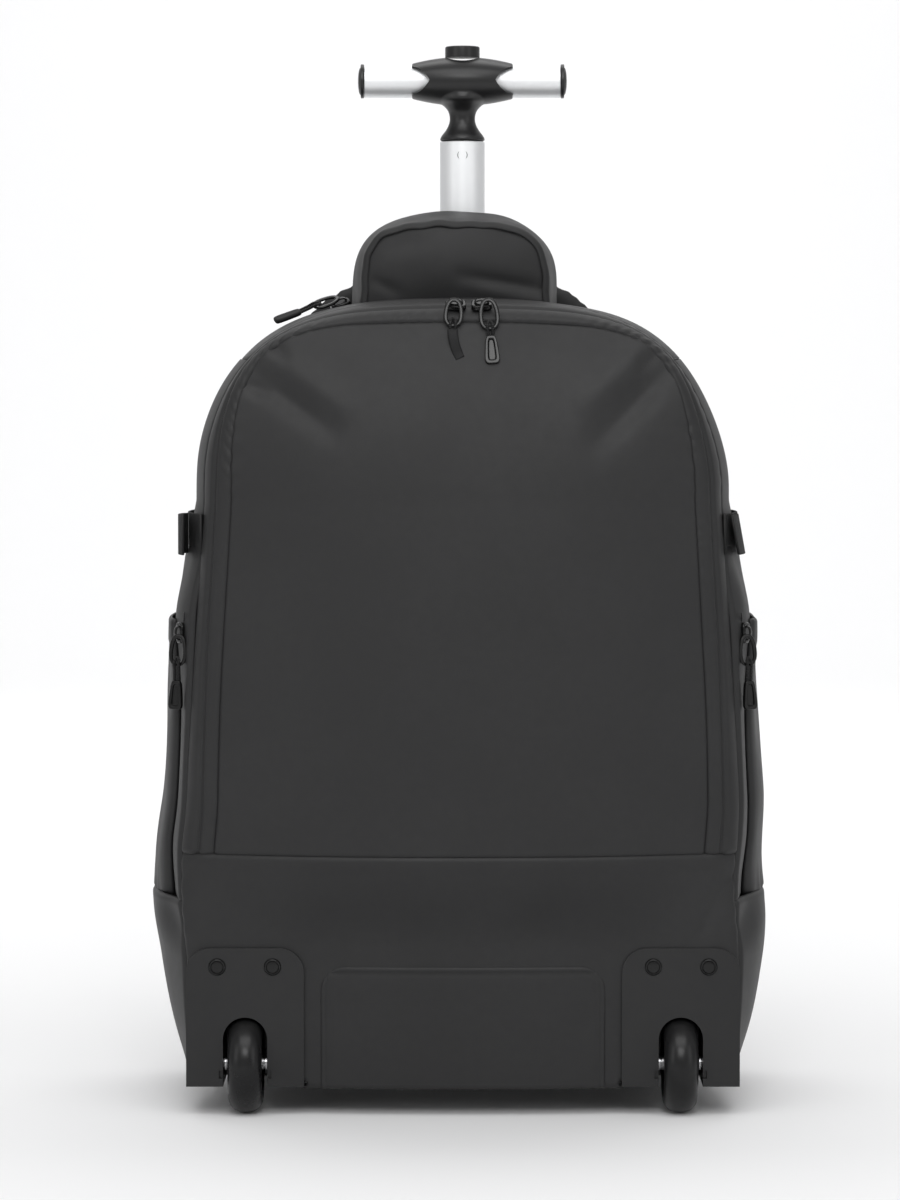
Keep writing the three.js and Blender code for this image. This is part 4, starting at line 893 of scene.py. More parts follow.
def build_side_pockets():
    z = lerp(CORNER_SEAM + SEAM_GAP, POCKET_TOP, spaced(POCKET_TOP - CORNER_SEAM, 2.6))[:, None]
    share = spaced(POCKET_REAR - POCKET_FRONT, 2.4)[None, :]
    y = lerp(POCKET_FRONT, POCKET_REAR, share)
    sewn = gusset_half(z, y) + WALL + 1
    narrowing = NARROWING_AT((z - CORNER_SEAM) / (POCKET_TOP - CORNER_SEAM))
    free = np.maximum(lerp(POCKET_FLOOR_HALF, POCKET_MOUTH_HALF, narrowing), sewn)
    rows = at(lerp(sewn, free, np.sin(share * math.pi) ** 0.45), y, z)

    def relief(grid, across, along):
        middle = np.sin(share * math.pi)
        hem = 0.7 * smoothstep(grid[..., 2], POCKET_TOP - POCKET_HEM - 1, POCKET_TOP - POCKET_HEM + 1)
        foot = puckers(grid[..., 2] - CORNER_SEAM, across, 22, 14, 0.7, 29)
        return (crumple(grid, 0.9, 60, 28) + hem + foot) * np.clip(middle * 2, 0, 1)

    for name, side in SIDES:
        grid = rows if side > 0 else mirrored(rows)
        cloth(f"side_pocket_{name}_cover", grid, COATED, [f"side_pocket_{name}"], roll_width=1.6,
              roll_depth=1,
              relief=relief)


def build_base():
    share = spaced(2 * HALF_WIDTH, 5)[None, :] * 2 - 1
    outline_share = spaced(175, 5)[:, None]
    edge = lower_side_curve(np.array(BASE), lerp(0.02, 0.98, outline_share[:, 0]))
    half = (edge[:, 0] - WALL - 1.8)[:, None]
    y = np.maximum(edge[:, 1], GUARD_THICKNESS + WALL + SEAM_GAP)[:, None]
    grid = at(share * half, y, BASE + 0.3)
    cloth("base_panel_cover", grid, LINING, ["base_panel"], left_out=in_wheel_well, borders=(), wall=2)


def build_back():
    z_side = np.linspace(BASE, SHOULDER, 60)
    angles = np.linspace(0, RIGHT_ANGLE, 60)[1:]
    point = 2 / 1.87
    arch = np.stack([back_half(SHOULDER) * np.clip(np.cos(angles), 0, 1) ** point,
                     lerp(SHOULDER, BACK_TOP, np.sin(angles) ** point)], axis=-1)
    right = np.concatenate([np.stack([back_half(z_side), z_side], axis=-1), arch])
    flat = filled(right, 4)
    z = flat[..., 1]
    x = flat[..., 0] + BACK_LEAN * np.clip((z - SHOULDER) / (BACK_TOP - SHOULDER), 0, None)
    rim = np.ones_like(z)
    for border in BORDERS:
        reach = np.clip(border_distance(at(x, 0, z), border) / 9, 0, 1)
        rim = np.minimum(rim, np.sqrt(1 - (1 - reach) ** 2))
    face = at(x, back_depth(z) + (BACK_PAD - BACK_SWELL) * lerp(0.4, 1, rim), z)
    back = at(x, back_depth(z), z)
    pad = closed_grid("back_panel_cover", face, back, COATED, ["back_panel"])

    def sewn(points):
        x, y, z = points.T
        flat_side = y < back_depth(z) + 1.2
        outline = np.abs(x) > back_half(np.minimum(z, SHOULDER)) - 5
        channel = (np.abs(np.abs(x) - BACK_CHANNEL) < 2.6) & (z < BACK_SEAMS[-1] + 3)
        seam = np.min(np.abs(z[:, None] - np.array(BACK_SEAMS)), axis=1) < 2.6
        return flat_side | outline | channel | seam | (z < BASE + 5)

    stuffed(pad, sewn, BACK_SWELL)


def stuffed(piece, sewn, furthest, voxel=4.6):
    """Blows a closed piece up as cloth, held where it is sewn, so that it fills out as padding does."""
    remesh = piece.modifiers.new("even", "REMESH")
    remesh.mode = "VOXEL"
    remesh.voxel_size = voxel * MM
    finish = piece.data.materials[0]
    piece.data = baked(piece)
    piece.modifiers.clear()
    start = np.zeros(len(piece.data.vertices) * 3)
    piece.data.vertices.foreach_get("co", start)
    start = start.reshape(-1, 3)
    held = piece.vertex_groups.new(name="sewn")
    in_the_bag = (start - placed((0, 0, 0))) / MM
    held.add(np.flatnonzero(sewn(in_the_bag)).tolist(), 1.0, "REPLACE")
    swelling = piece.modifiers.new("padding", "CLOTH")
    settings = swelling.settings
    settings.quality = 6
    settings.use_pressure = True
    settings.uniform_pressure_force = 4.0
    settings.vertex_group_mass = held.name
    settings.effector_weights.gravity = 0.0
    for step in range(1, 21):
        bpy.context.scene.frame_set(step)
    swollen = baked(piece)
    end = np.zeros(len(start) * 3)
    swollen.vertices.foreach_get("co", end)
    move = end.reshape(-1, 3) - start
    length = np.maximum(np.linalg.norm(move, axis=1, keepdims=True), 1e-9)
    move *= np.minimum(1, furthest * MM / length)
    piece.modifiers.clear()
    piece.vertex_groups.clear()
    piece.data.vertices.foreach_set("co", (start + move).ravel())
    piece.data.materials.clear()
    piece.data.materials.append(finish)
    piece.data.shade_smooth()
    bpy.context.scene.frame_set(1)
    rounder = piece.modifiers.new("rounder", "SUBSURF")
    rounder.levels = 1
    rounder.render_levels = 1


def closed_grid(name, face, back, finish, replaces, body="bag"):
    """A closed piece between two grids."""
    rows, columns = face.shape[:2]
    count = rows * columns
    turned = not grid_normals(face, face.mean(axis=(0, 1)) + (back - face).mean(axis=(0, 1)) * 50)[1]
    front_faces = grid_faces(rows, columns, turned)
    back_faces = front_faces[:, ::-1] + count
    index = np.arange(count).reshape(rows, columns)
    loop = np.concatenate([index[0], index[1:, -1], index[-1, -2::-1], index[-2:0:-1, 0]])
    following = np.roll(loop, -1)
    rim = np.stack([loop, loop + count, following + count, following], axis=-1)
    if turned:
        rim = rim[:, ::-1]
    points = np.concatenate([face.reshape(-1, 3), back.reshape(-1, 3)])
    flat = np.stack([border_distance(face, "first_column"), border_distance(face, "first_row")], axis=-1)
    surface = np.concatenate([flat.reshape(-1, 2)] * 2) * MM
    faces = np.concatenate([front_faces, back_faces, rim[:, ::-1]])
    return new_piece(name, placed(slumped(points)), faces, finish, replaces, body, surface)


# Bands, tapes and cords that follow a line

def rounded_section(width, thickness, radius, corner_steps=3):
    """A closed outline across a band, from its middle: pairs of across and up."""
    radius = min(radius, width / 2, thickness / 2)
    points = []
    for quarter in range(4):
        centre_x = (width / 2 - radius) * (1 if quarter in (0, 3) else -1)
        centre_y = (thickness / 2 - radius) * (1 if quarter in (0, 1) else -1)
        for step in range(corner_steps + 1):
            angle = RIGHT_ANGLE * (quarter + step / corner_steps)
            points.append((centre_x + radius * math.cos(angle), centre_y + radius * math.sin(angle)))
    return np.array(points)


def padded_section(width, thickness, count=28):
    """A soft band's section: full in the middle, thin at its bound edges."""
    angle = np.linspace(0, 2 * math.pi, count, endpoint=False)
    across = np.sign(np.cos(angle)) * np.abs(np.cos(angle)) ** 0.55
    up = np.sign(np.sin(angle)) * np.abs(np.sin(angle)) ** 0.8
    return np.stack([across * width / 2, up * thickness / 2], axis=-1)


def round_section(radius, count=10):
    angle = np.linspace(0, 2 * math.pi, count, endpoint=False)
    return np.stack([np.cos(angle), np.sin(angle)], axis=-1) * radius


def smooth_line(points, count, power=1):
    """An even curve through a few points."""
    points = np.asarray(points, float)
    along = length_along(points)
    fine = np.linspace(0, along[-1], 40 * len(points))
    curve = np.stack([column(along, points[:, axis])(fine) for axis in range(3)], axis=-1)
    return resampled(curve, np.linspace(0, 1, count) ** power)


def swept(line, outward, section, closed=False, sizes=1.0):
    """Points and faces of a band along a line. outward is each point's direction out of the surface under it,
    and sizes scales the section along the line."""
    line = np.asarray(line, float)
    outward = np.broadcast_to(np.asarray(outward, float), line.shape)
    if closed:
        tangent = np.roll(line, -1, axis=0) - np.roll(line, 1, axis=0)
    else:
        tangent = np.gradient(line, axis=0)
    tangent = unit(tangent)
    across = unit(np.cross(tangent, outward))
    up = np.cross(across, tangent)
    sized = section[None] * np.broadcast_to(sizes, len(line))[:, None, None]
    points = line[:, None] + across[:, None] * sized[..., :1] + up[:, None] * sized[..., 1:]
    rows, columns = points.shape[:2]
    index = np.arange(rows * columns).reshape(rows, columns)
    if closed:
        index = np.concatenate([index, index[:1]])
    index = np.concatenate([index, index[:, :1]], axis=1)
    quads = np.stack([index[:-1, :-1], index[:-1, 1:], index[1:, 1:], index[1:, :-1]], axis=-1).reshape(-1, 4)
    faces = [list(face) for face in quads]
    if not closed:
        faces.append(list(index[0, :-1][::-1]))
        faces.append(list(index[-1, :-1]))
    around = length_along(np.concatenate([section, section[:1]]))[:-1]
    along = length_along(line)
    surface = np.stack(np.broadcast_arrays(around[None, :], along[:, None]), axis=-1).reshape(-1, 2) * MM
    return points.reshape(-1, 3), faces, surface


def band_piece(name, line, outward, section, finish, replaces=(), body="bag", closed=False, sizes=1.0):
    points, faces, surface = swept(line, outward, section, closed, sizes)
    return new_piece(name, placed(slumped(points)), faces, finish, replaces, body, surface)


def build_shoulder_straps():
    up = np.array(STRAP_UP) * BACK_TOP
    face = back_depth(up) + BACK_PAD
    for name, side in SIDES:
        line = at(side * np.array(STRAP_ACROSS) * HALF_WIDTH,
                  face + 1 + np.array(STRAP_BOWS) * STRAP_BOW + STRAP_PAD / 2, up)
        middle = smooth_line(line, 90)
        strap = band_piece(f"shoulder_strap_{name}_cover", middle, (0, 1, 0),
                           padded_section(STRAP_WIDTH, STRAP_PAD - 2 * STRAP_SWELL), COATED,
                           [f"shoulder_strap_{name}"])

        def sewn(points):
            x, y, z = points.T
            middle_x = np.interp(-z, -middle[:, 2], middle[:, 0])
            edge = np.abs(x - middle_x) > STRAP_WIDTH * 0.44
            return edge | (z > middle[0, 2] - 6) | (z < middle[-1, 2] + 6)

        stuffed(strap, sewn, STRAP_SWELL)
        end = line[-1]
        foot_x = side * (back_half(STRAP_WEB_FOOT) - STRAP_WEB_WIDTH)
        heights = lerp(end[2] - 8, STRAP_WEB_FOOT, np.linspace(0, 1, 4))
        across = lerp(end[0], foot_x, np.linspace(0, 1, 4))
        web = at(across, back_depth(heights) + BACK_PAD + 1.5, heights)
        band_piece(f"strap_webbing_{name}_cover", smooth_line(web, 60), (0, 1, 0),
                   rounded_section(STRAP_WEB_WIDTH, 2, 0.7), WEBBING, [f"strap_webbing_{name}"])


def build_hood():
    angles = 1 - np.linspace(1, 0, 200) ** 2
    front = hood_outline(angles * RIGHT_ANGLE, 0)
    right = np.concatenate([[[front[0, 0], HOOD_FOOT]], front[:, [0, 2]]])
    flat = filled(right - [SEAM_GAP / 2, 0], 2)
    height = (flat[..., 1] - HOOD_FOOT) / (HOOD_TOP - HOOD_FOOT)
    half = np.interp(flat[..., 1], right[:, 1], right[:, 0])
    share = flat[..., 0] / np.maximum(half, 1)
    swell = HOOD_SWELL * np.sin(np.clip(height, 0, 1) * math.pi) * np.clip(1 - share ** 2, 0, 1)
    grid = at(flat[..., 0] + HOOD_LEAN, HOOD_FRONT - swell, flat[..., 1])

    def front_relief(grid, across, along):
        edge = np.minimum(across, across[:, -1:] - across)
        return creased(grid, HOOD_CREASES) + puckers(edge, along, 7, 13, 0.3, 41) + crumple(grid, 0.6, 38, 42)

    cloth("hood_front_cover", grid, COATED, ["hood_front"], HOOD_MIDDLE, relief=front_relief)

    shares = spaced(HOOD_REACH, 2)
    angles = np.concatenate([np.linspace(-0.25, 0, 8)[:-1], 1 - np.linspace(1, 0, 60) ** 2])
    rows = hood_outline(np.clip(angles, 0, 1)[:, None] * RIGHT_ANGLE, shares[None, :])
    foot = np.clip(-angles / 0.25, 0, 1)[:, None]
    rows[..., 2] = lerp(rows[..., 2], HOOD_FOOT, foot)
    rows = np.concatenate([rows, mirrored(rows[-2::-1])]) + [HOOD_LEAN, -HOOD_LAP, 0]

    def band_relief(grid, across, along):
        return puckers(across, along, 14, 17, 0.5, 43) + crumple(grid, 0.5, 24, 44)

    cloth("hood_band_cover", rows, COATED, ["hood_band"], HOOD_MIDDLE, relief=band_relief)


def build_compression_straps():
    y = np.linspace(WEB_START, WEB_END, 60)
    for name, side in SIDES:
        half = gusset_half(WEB_HEIGHT, y)
        line = at(side * (half + 2.2), y, WEB_HEIGHT)
        outward = at(side, 0, 0)
        band_piece(f"side_webbing_{name}_cover", line, outward,
                   rounded_section(WEB_WIDTH, WEB_THICKNESS, 0.5),
                   WEBBING, [f"side_webbing_{name}"])
        stand, tilt = LOOP_STAND[name]
        share = np.linspace(0, 1, 40)
        y_loop = LOOP_START - 3 + share * LOOP_LENGTH
        out = gusset_half(WEB_HEIGHT, y_loop) + 3.9 + stand * np.cos(share * RIGHT_ANGLE) ** 0.7
        band_piece(f"web_loop_{name}_cover", at(side * out, y_loop, WEB_HEIGHT - 0.5), at(side, 0, tilt),
               rounded_section(WEB_WIDTH, WEB_THICKNESS, 0.5), WEBBING, [f"web_loop_{name}"])


build_front_panel()
build_front_band()
build_kick_panel()
build_patch()
build_gussets()
build_lower_sides()
build_side_pockets()
build_base()
build_back()
build_shoulder_straps()
build_hood()
build_compression_straps()


# Rows of small repeats along a line, by geometry nodes

def build_row_tree():
    """Small rounded pieces, such as zip teeth or stitches, one pitch apart along a line."""
    tree = bpy.data.node_groups.new("row_along_a_line", "GeometryNodeTree")
    tree.interface.new_socket(name="Line", in_out="INPUT", socket_type="NodeSocketGeometry")
    for label in ("Pitch", "Length", "Width", "Height", "Lift"):
        tree.interface.new_socket(name=label, in_out="INPUT", socket_type="NodeSocketFloat")
    tree.interface.new_socket(name="Finish", in_out="INPUT", socket_type="NodeSocketMaterial")
    tree.interface.new_socket(name="Row", in_out="OUTPUT", socket_type="NodeSocketGeometry")
    given = tree.nodes.new("NodeGroupInput").outputs
    out = tree.nodes.new("NodeGroupOutput")
    curve = add_node(tree, "GeometryNodeMeshToCurve", Mesh=given["Line"])
    spaced_out = add_node(tree, "GeometryNodeResampleCurve", {"mode": "LENGTH"},
                          Curve=curve.outputs[0], Length=given["Pitch"])
    tangent = tree.nodes.new("GeometryNodeInputTangent")
    outward = add_node(tree, "GeometryNodeInputNamedAttribute", {"data_type": "FLOAT_VECTOR"}, Name="outward")
    lift = add_node(tree, "ShaderNodeVectorMath", {"operation": "SCALE"},
                    Vector=outward.outputs[0], Scale=given["Lift"])
    raised = add_node(tree, "GeometryNodeSetPosition", Geometry=spaced_out.outputs[0], Offset=lift.outputs[0])
    along = add_node(tree, "FunctionNodeAlignRotationToVector", {"axis": "X"}, Vector=tangent.outputs[0])
    upright = add_node(tree, "FunctionNodeAlignRotationToVector", {"axis": "Z", "pivot_axis": "X"},
                       Rotation=along.outputs[0], Vector=outward.outputs[0])
    bead = add_node(tree, "GeometryNodeMeshIcoSphere", Radius=0.5, Subdivisions=2)
    size = add_node(tree, "ShaderNodeCombineXYZ", X=given["Length"], Y=given["Width"], Z=given["Height"])
    beads = add_node(tree, "GeometryNodeInstanceOnPoints", Points=raised.outputs[0], Instance=bead.outputs[0],
                     Rotation=upright.outputs[0], Scale=size.outputs[0])
    real = add_node(tree, "GeometryNodeRealizeInstances", Geometry=beads.outputs[0])
    smooth = add_node(tree, "GeometryNodeSetShadeSmooth", Geometry=real.outputs[0])
    finished = add_node(tree, "GeometryNodeSetMaterial", Geometry=smooth.outputs[0], Material=given["Finish"])
    tree.links.new(finished.outputs[0], out.inputs["Row"])
    return tree


ROW_TREE = build_row_tree()


def row_piece(name, lines, finish, pitch, length, width, height, lift=0.0, body="bag"):
    """lines holds pairs of a line and each point's direction out of the cloth. Sizes are in millimetres."""
    mesh = bpy.data.meshes.new(name + "_line")
    starts = np.cumsum([0] + [len(line) for line, _ in lines])
    edges = [(start + i, start + i + 1)
             for start, (line, _) in zip(starts, lines) for i in range(len(line) - 1)]
    points = placed(slumped(np.concatenate([line for line, _ in lines])))
    mesh.from_pydata(points.tolist(), edges, [])
    outward = np.concatenate([np.broadcast_to(out, line.shape) for line, out in lines])
    attribute = mesh.attributes.new("outward", "FLOAT_VECTOR", "POINT")
    attribute.data.foreach_set("vector", unit(outward).astype(np.float32).ravel())
    guide = bpy.data.objects.new(name + "_line", mesh)
    bpy.context.scene.collection.objects.link(guide)
    row = guide.modifiers.new("row", "NODES")
    row.node_group = ROW_TREE
    given = {"Pitch": pitch * MM, "Length": length * MM, "Width": width * MM, "Height": height * MM,
             "Lift": lift * MM, "Finish": finish}
    for item in ROW_TREE.interface.items_tree:
        if item.name in given:
            row[item.identifier] = given[item.name]
    piece = bpy.data.objects.new(name, baked(guide))
    piece.data.materials.clear()
    piece.data.materials.append(finish)
    bpy.context.scene.collection.objects.link(piece)
    bpy.data.objects.remove(guide)
    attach(piece, body)
    return piece


# Hard pieces

def tidied(piece, sharp_degrees=35):
    """Merges what meets, turns the faces outwards and keeps real edges sharp."""
    work = bmesh.new()
    work.from_mesh(piece.data)
    bmesh.ops.remove_doubles(work, verts=work.verts, dist=1e-6)
    bmesh.ops.recalc_face_normals(work, faces=work.faces)
    work.to_mesh(piece.data)
    work.free()
    piece.data.shade_smooth()
    piece.data.set_sharp_from_angle(angle=math.radians(sharp_degrees))
    return piece


def turned(name, profile, centre, axis, finish, replaces=(), body="bag", hollow=False, segments=72, sharp=35):
    """A turned piece. profile's rows are a radius and a place along the axis, in metres."""
    profile = np.array(profile, float)
    axis = np.array(axis, float)
    side = np.roll(axis, 1)
    other = np.cross(axis, side)
    angle = np.linspace(0, 2 * math.pi, segments, endpoint=False)
    spoke = side * np.cos(angle)[:, None] + other * np.sin(angle)[:, None]
    radius = profile[:, 0][:, None, None]
    place = profile[:, 1][:, None, None]
    points = np.array(centre) + axis * place + spoke[None] * radius
    index = np.arange(len(profile) * segments).reshape(len(profile), segments)
    index = np.concatenate([index, index[:, :1]], axis=1)
    if hollow:
        index = np.concatenate([index, index[:1]])
    quads = np.stack([index[:-1, :-1], index[:-1, 1:], index[1:, 1:], index[1:, :-1]], axis=-1).reshape(-1, 4)
    piece = new_piece(name, points.reshape(-1, 3), quads, finish, replaces, body)
    return tidied(piece, sharp)


def solid_middle(node):
    low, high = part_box(node)
    return (low + high) / 2


def bevelled_copy(node, finish, width, body="bag", segments=2):
    """A CAD node's shape with its flat faces whole again and its edges broken."""
    copy = bpy.data.objects.new(f"{node}_finished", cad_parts[node].data.copy())
    copy.data.materials.clear()
    copy.data.materials.append(finish)
    bpy.context.scene.collection.objects.link(copy)
    work = bmesh.new()
    work.from_mesh(copy.data)
    bmesh.ops.remove_doubles(work, verts=work.verts, dist=2e-6)
    bmesh.ops.dissolve_limit(work, angle_limit=math.radians(0.8), verts=work.verts, edges=work.edges)
    work.to_mesh(copy.data)
    work.free()
    bevel = copy.modifiers.new("edges", "BEVEL")
    bevel.width = width * MM
    bevel.segments = segments
    bevel.limit_method = "ANGLE"
    bevel.angle_limit = math.radians(32)
    bevel.use_clamp_overlap = True
    copy.data.shade_smooth()
    copy.data.set_sharp_from_angle(angle=math.radians(32))
    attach(copy, body)
    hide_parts(node)
    return copy


def chamfered(radius, low, high, chamfer):
    """A rod's profile with broken ends."""
    return [(0, low), (radius - chamfer, low), (radius, low + chamfer),
            (radius, high - chamfer), (radius - chamfer, high), (0, high)]


def build_tubes():
    low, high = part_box("lift_tube")
    centre = solid_middle("lift_tube")
    radius = (high.x - low.x) / 2
    wall = 0.0015
    rim = 0.0004
    half = (high.z - low.z) / 2
    tube = [(radius - wall, -half), (radius - rim, -half), (radius, rim - half), (radius, half - rim),
            (radius - rim, half), (radius - wall, half)]
    turned("lift_tube_finished", tube, centre, (0, 0, 1), ALUMINIUM, ["lift_tube"], "lift_handle", True, 96)
    low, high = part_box("guide_tube")
    half = (high.z - low.z) / 2
    outer = (high.x - low.x) / 2
    guide = [(outer - 0.002, -half), (outer, -half), (outer, half), (outer - 0.002, half)]
    turned("guide_tube_finished", guide, solid_middle("guide_tube"), (0, 0, 1), ALUMINIUM, ["guide_tube"],
           "bag", True, 64)
    low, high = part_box("cross_tube")
    half = (high.x - low.x) / 2
    radius = (high.z - low.z) / 2
    turned("cross_tube_finished", chamfered(radius, -half, half, 0.0004), solid_middle("cross_tube"),
           (1, 0, 0),
           ALUMINIUM, ["cross_tube"], "lift_handle", segments=96)


def build_end_caps():
    """A rim and a domed middle in each end of the cross tube."""
    for name, side in SIDES:
        low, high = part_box(f"end_cap_{name}")
        length = high.x - low.x
        radius = (high.z - low.z) / 2
        groove = 0.0003
        cap = [
            (0, 0), (radius - groove, 0), (radius, groove), (radius, 0.45 * length), (radius - groove,
                                                                                      0.52 * length),
            (radius * 0.86, 0.56 * length), (radius * 0.84, 0.5 * length), (radius * 0.8, 0.54 * length)]
        dome = [(radius * 0.8 * math.cos(a), length * lerp(0.56, 1, math.sin(a)))
                for a in np.linspace(0.1, RIGHT_ANGLE, 10)]
        inner_face = Vector((low.x if side > 0 else high.x, solid_middle(f"end_cap_{name}").y,
                             solid_middle(f"end_cap_{name}").z))
        turned(f"end_cap_{name}_finished", cap + dome, inner_face, (side, 0, 0), PLASTIC, [f"end_cap_{name}"],
               "lift_handle")


def build_button():
    low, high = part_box("release_button")
    radius = (high.x - low.x) / 2
    height = high.z - low.z
    edge = [(radius - 0.0011 + 0.0011 * math.sin(a), height - 0.0011 + 0.0011 * math.cos(a))
            for a in np.linspace(RIGHT_ANGLE, 0, 6)]
    dish = [(radius * 0.72, height - 0.0001), (radius * 0.6, height - 0.0006), (0, height - 0.0009)]
    centre = solid_middle("release_button")
    turned("release_button_finished", [(0, 0), (radius, 0)] + edge + dish, (centre.x, centre.y, low.z),
           (0, 0, 1),
           PLASTIC, ["release_button"], "button")


def cutter(name, points, faces):
    mesh = bpy.data.meshes.new(name)
    mesh.from_pydata([tuple(point) for point in points], [], faces)
    piece = bpy.data.objects.new(name, mesh)
    bpy.context.scene.collection.objects.link(piece)
    return tidied(piece)


def prism(name, outline, low_y, high_y):
    """A flat outline in X and Z, extruded along Y."""
    count = len(outline)
    points = [(x, y, z) for y in (low_y, high_y) for x, z in outline]
    sides = [(i, (i + 1) % count, count + (i + 1) % count, count + i) for i in range(count)]
    return cutter(name, points, sides + [tuple(range(count)), tuple(range(2 * count - 1, count - 1, -1))])


def cylinder_cutter(name, centre, axis, radius, low, high, segments=96):
    profile = [(0, low), (radius, low), (radius, high), (0, high)]
    piece = turned(name, profile, centre, axis, PLASTIC, (), "lift_handle", segments=segments)
    piece.parent = None
    return piece


def with_booleans(piece, steps):
    """Joins and cuts a piece, then removes the tools."""
    for operation, tool in steps:
        modifier = piece.modifiers.new("cut", "BOOLEAN")
        modifier.operation = operation
        modifier.solver = "EXACT"
        modifier.object = tool
    mesh = baked(piece)
    piece.modifiers.clear()
    piece.data = mesh
    for _, tool in steps:
        bpy.data.objects.remove(tool)


def build_hub():
    """A barrel that flows into a waisted neck, with a leaf-shaped notch at each end for the cross tube."""
    centre = solid_middle("cross_tube")
    low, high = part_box("handle_hub")
    half_length = (high.x - low.x) / 2
    tube_radius = (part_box("cross_tube")[1].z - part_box("cross_tube")[0].z) / 2
    neck_radius = (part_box("lift_tube")[1].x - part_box("lift_tube")[0].x) / 2
    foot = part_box("lift_tube")[1].z + 0.0003 - centre.z
    tall = high.z - centre.z
    deep = (high.y - low.y) / 2
    end_share = 0.72
    stations = np.linspace(-1, 1, 49)
    radii = lerp(tall, tall * end_share, stations ** 2)
    barrel_profile = [(0, -half_length)] + list(zip(radii, stations * half_length)) + [(0, half_length)]
    barrel = turned("hub_barrel", barrel_profile, (0, 0, 0), (1, 0, 0), PLASTIC, (), "lift_handle",
                    segments=96)
    barrel.parent = None
    barrel.data.transform(Matrix.Diagonal((1, deep / tall, 1, 1)))
    barrel.data.transform(Matrix.Translation(centre))
    waist = 0.0081
    neck_rows = [
        (neck_radius - 0.0012, 0), (neck_radius - 0.0002, 0.0004), (neck_radius,
                                                                    0.0014), (neck_radius - 0.0009, 0.0034),
        (waist + 0.0028, 0.0066), (waist + 0.0008, 0.0102), (waist, 0.0135), (waist + 0.0002, 0.0165),
        (waist + 0.0014, 0.0198), (waist + 0.0045, 0.023), (waist + 0.009, 0.026), (waist + 0.009, 0.03)]
    heights = np.array([row[1] for row in neck_rows])
    radius_at = column(heights, [row[0] for row in neck_rows])
    fine = np.linspace(heights[0], heights[-1], 60)
    neck_profile = [(0, 0)] + list(zip(radius_at(fine), fine)) + [(0, heights[-1])]
    neck = turned("hub_neck", neck_profile, (centre.x, centre.y, centre.z + foot), (0, 0, 1), PLASTIC, (),
                  "lift_handle", segments=96)
    neck.parent = None
    with_booleans(barrel, [("UNION", neck)])
    remesh = barrel.modifiers.new("even", "REMESH")
    remesh.mode = "VOXEL"
    remesh.voxel_size = 0.00055
    smooth = barrel.modifiers.new("flow", "SMOOTH")
    smooth.iterations = 14
    smooth.factor = 0.5
    barrel.data = baked(barrel)
    barrel.modifiers.clear()

    opening = 0.0087
    depth = 0.0113
    reach = np.linspace(0.012, 1, 24)
    opened = opening * (1 - (1 - reach) ** 2) ** 0.9
    tools = []
    for side in (-1, 1):
        inner = side * (half_length - depth)
        x = inner + side * depth * reach
        past = side * (half_length + 0.004)
        outline = [(inner, 0)] + list(zip(x, opened)) + [(past, opening)] + [(past, -opening)]
        outline += list(zip(x[::-1], -opened[::-1]))
        shifted = [(x_here + centre.x, z_here + centre.z) for x_here, z_here in outline]
        tools.append(("DIFFERENCE", prism(f"notch{side}", shifted, low.y - 0.01, high.y + 0.01)))
    bore = cylinder_cutter("bore", centre, (1, 0, 0), tube_radius + 0.00015, -0.05, 0.05)
    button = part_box("release_button")
    socket_radius = (button[1].x - button[0].x) / 2 + 0.0001
    socket_floor = button[0].z - BUTTON_TRAVEL * MM - 0.0002 - centre.z
    socket = cylinder_cutter("socket", centre, (0, 0, 1), socket_radius, socket_floor, 0.03)
    with_booleans(barrel, tools + [("DIFFERENCE", bore), ("DIFFERENCE", socket)])
    barrel.name = "handle_hub_finished"
    tidied(barrel, 42)
    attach(barrel, "lift_handle")
    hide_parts("handle_hub")


def build_screw():
    """A button head with a six-sided socket, sunk in the tube, with painted shade: a dark ring in the gap
    round the head and a black hexagon over the socket.
    """
    low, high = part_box("tube_screw")
    centre = solid_middle("tube_screw")
    radius = (high.x - low.x) / 2
    depth = high.y - low.y
    profile = [(0, depth), (radius, depth), (radius, 0.0008), (radius * 0.94, 0.0005),
               (radius * 0.6, 0.00035),
               (radius * 0.55, 0.0004), (radius * 0.5, 0.0016), (0, 0.0017)]
    face = (centre.x, low.y, centre.z)
    turned("tube_screw_finished", profile, face, (0, 1, 0), STEEL, ["tube_screw"], "lift_handle", segments=48)
    outer = radius + 0.0007
    # A dark rubber-finished ring that fills the gap round the head: painted shade of the hole in the tube.
    gap_shade_profile = [(radius, 0.0004), (outer, 0.0002), (outer, 0.0015), (radius, 0.0015)]
    turned("screw_gap_painted_shade", gap_shade_profile, face, (0, 1, 0), RUBBER, (), "lift_handle", True, 48)
    # A black hexagon just in front of the head's recess: painted shade inside the socket.
    socket_shade_profile = [(0, 0.0002), (radius * 0.62, 0.0002), (radius * 0.62, 0.0014), (0, 0.0014)]
    turned("screw_socket_painted_shade", socket_shade_profile, face, (0, 1, 0), BLACK_METAL, (), "lift_handle", False, 6)


def build_collar():
    low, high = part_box("handle_collar")
    centre = solid_middle("handle_collar")
    flange = (high.x - low.x) / 2
    inner = (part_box("lift_tube")[1].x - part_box("lift_tube")[0].x) / 2 + 0.0005
    height = high.z - low.z
    seat = 0.0053
    profile = [(inner, 0), (inner + 0.002, 0), (inner + 0.002, seat), (flange - 0.0003, seat),
               (flange, seat + 0.0004), (flange, height - 0.0018), (flange - 0.0008, height - 0.0006),
               (flange - 0.002, height), (inner + 0.0008, height), (inner, height - 0.0008)]
    turned("handle_collar_finished", profile, (centre.x, centre.y, low.z), (0, 0, 1), PLASTIC,
           ["handle_collar"],
           "bag", True)


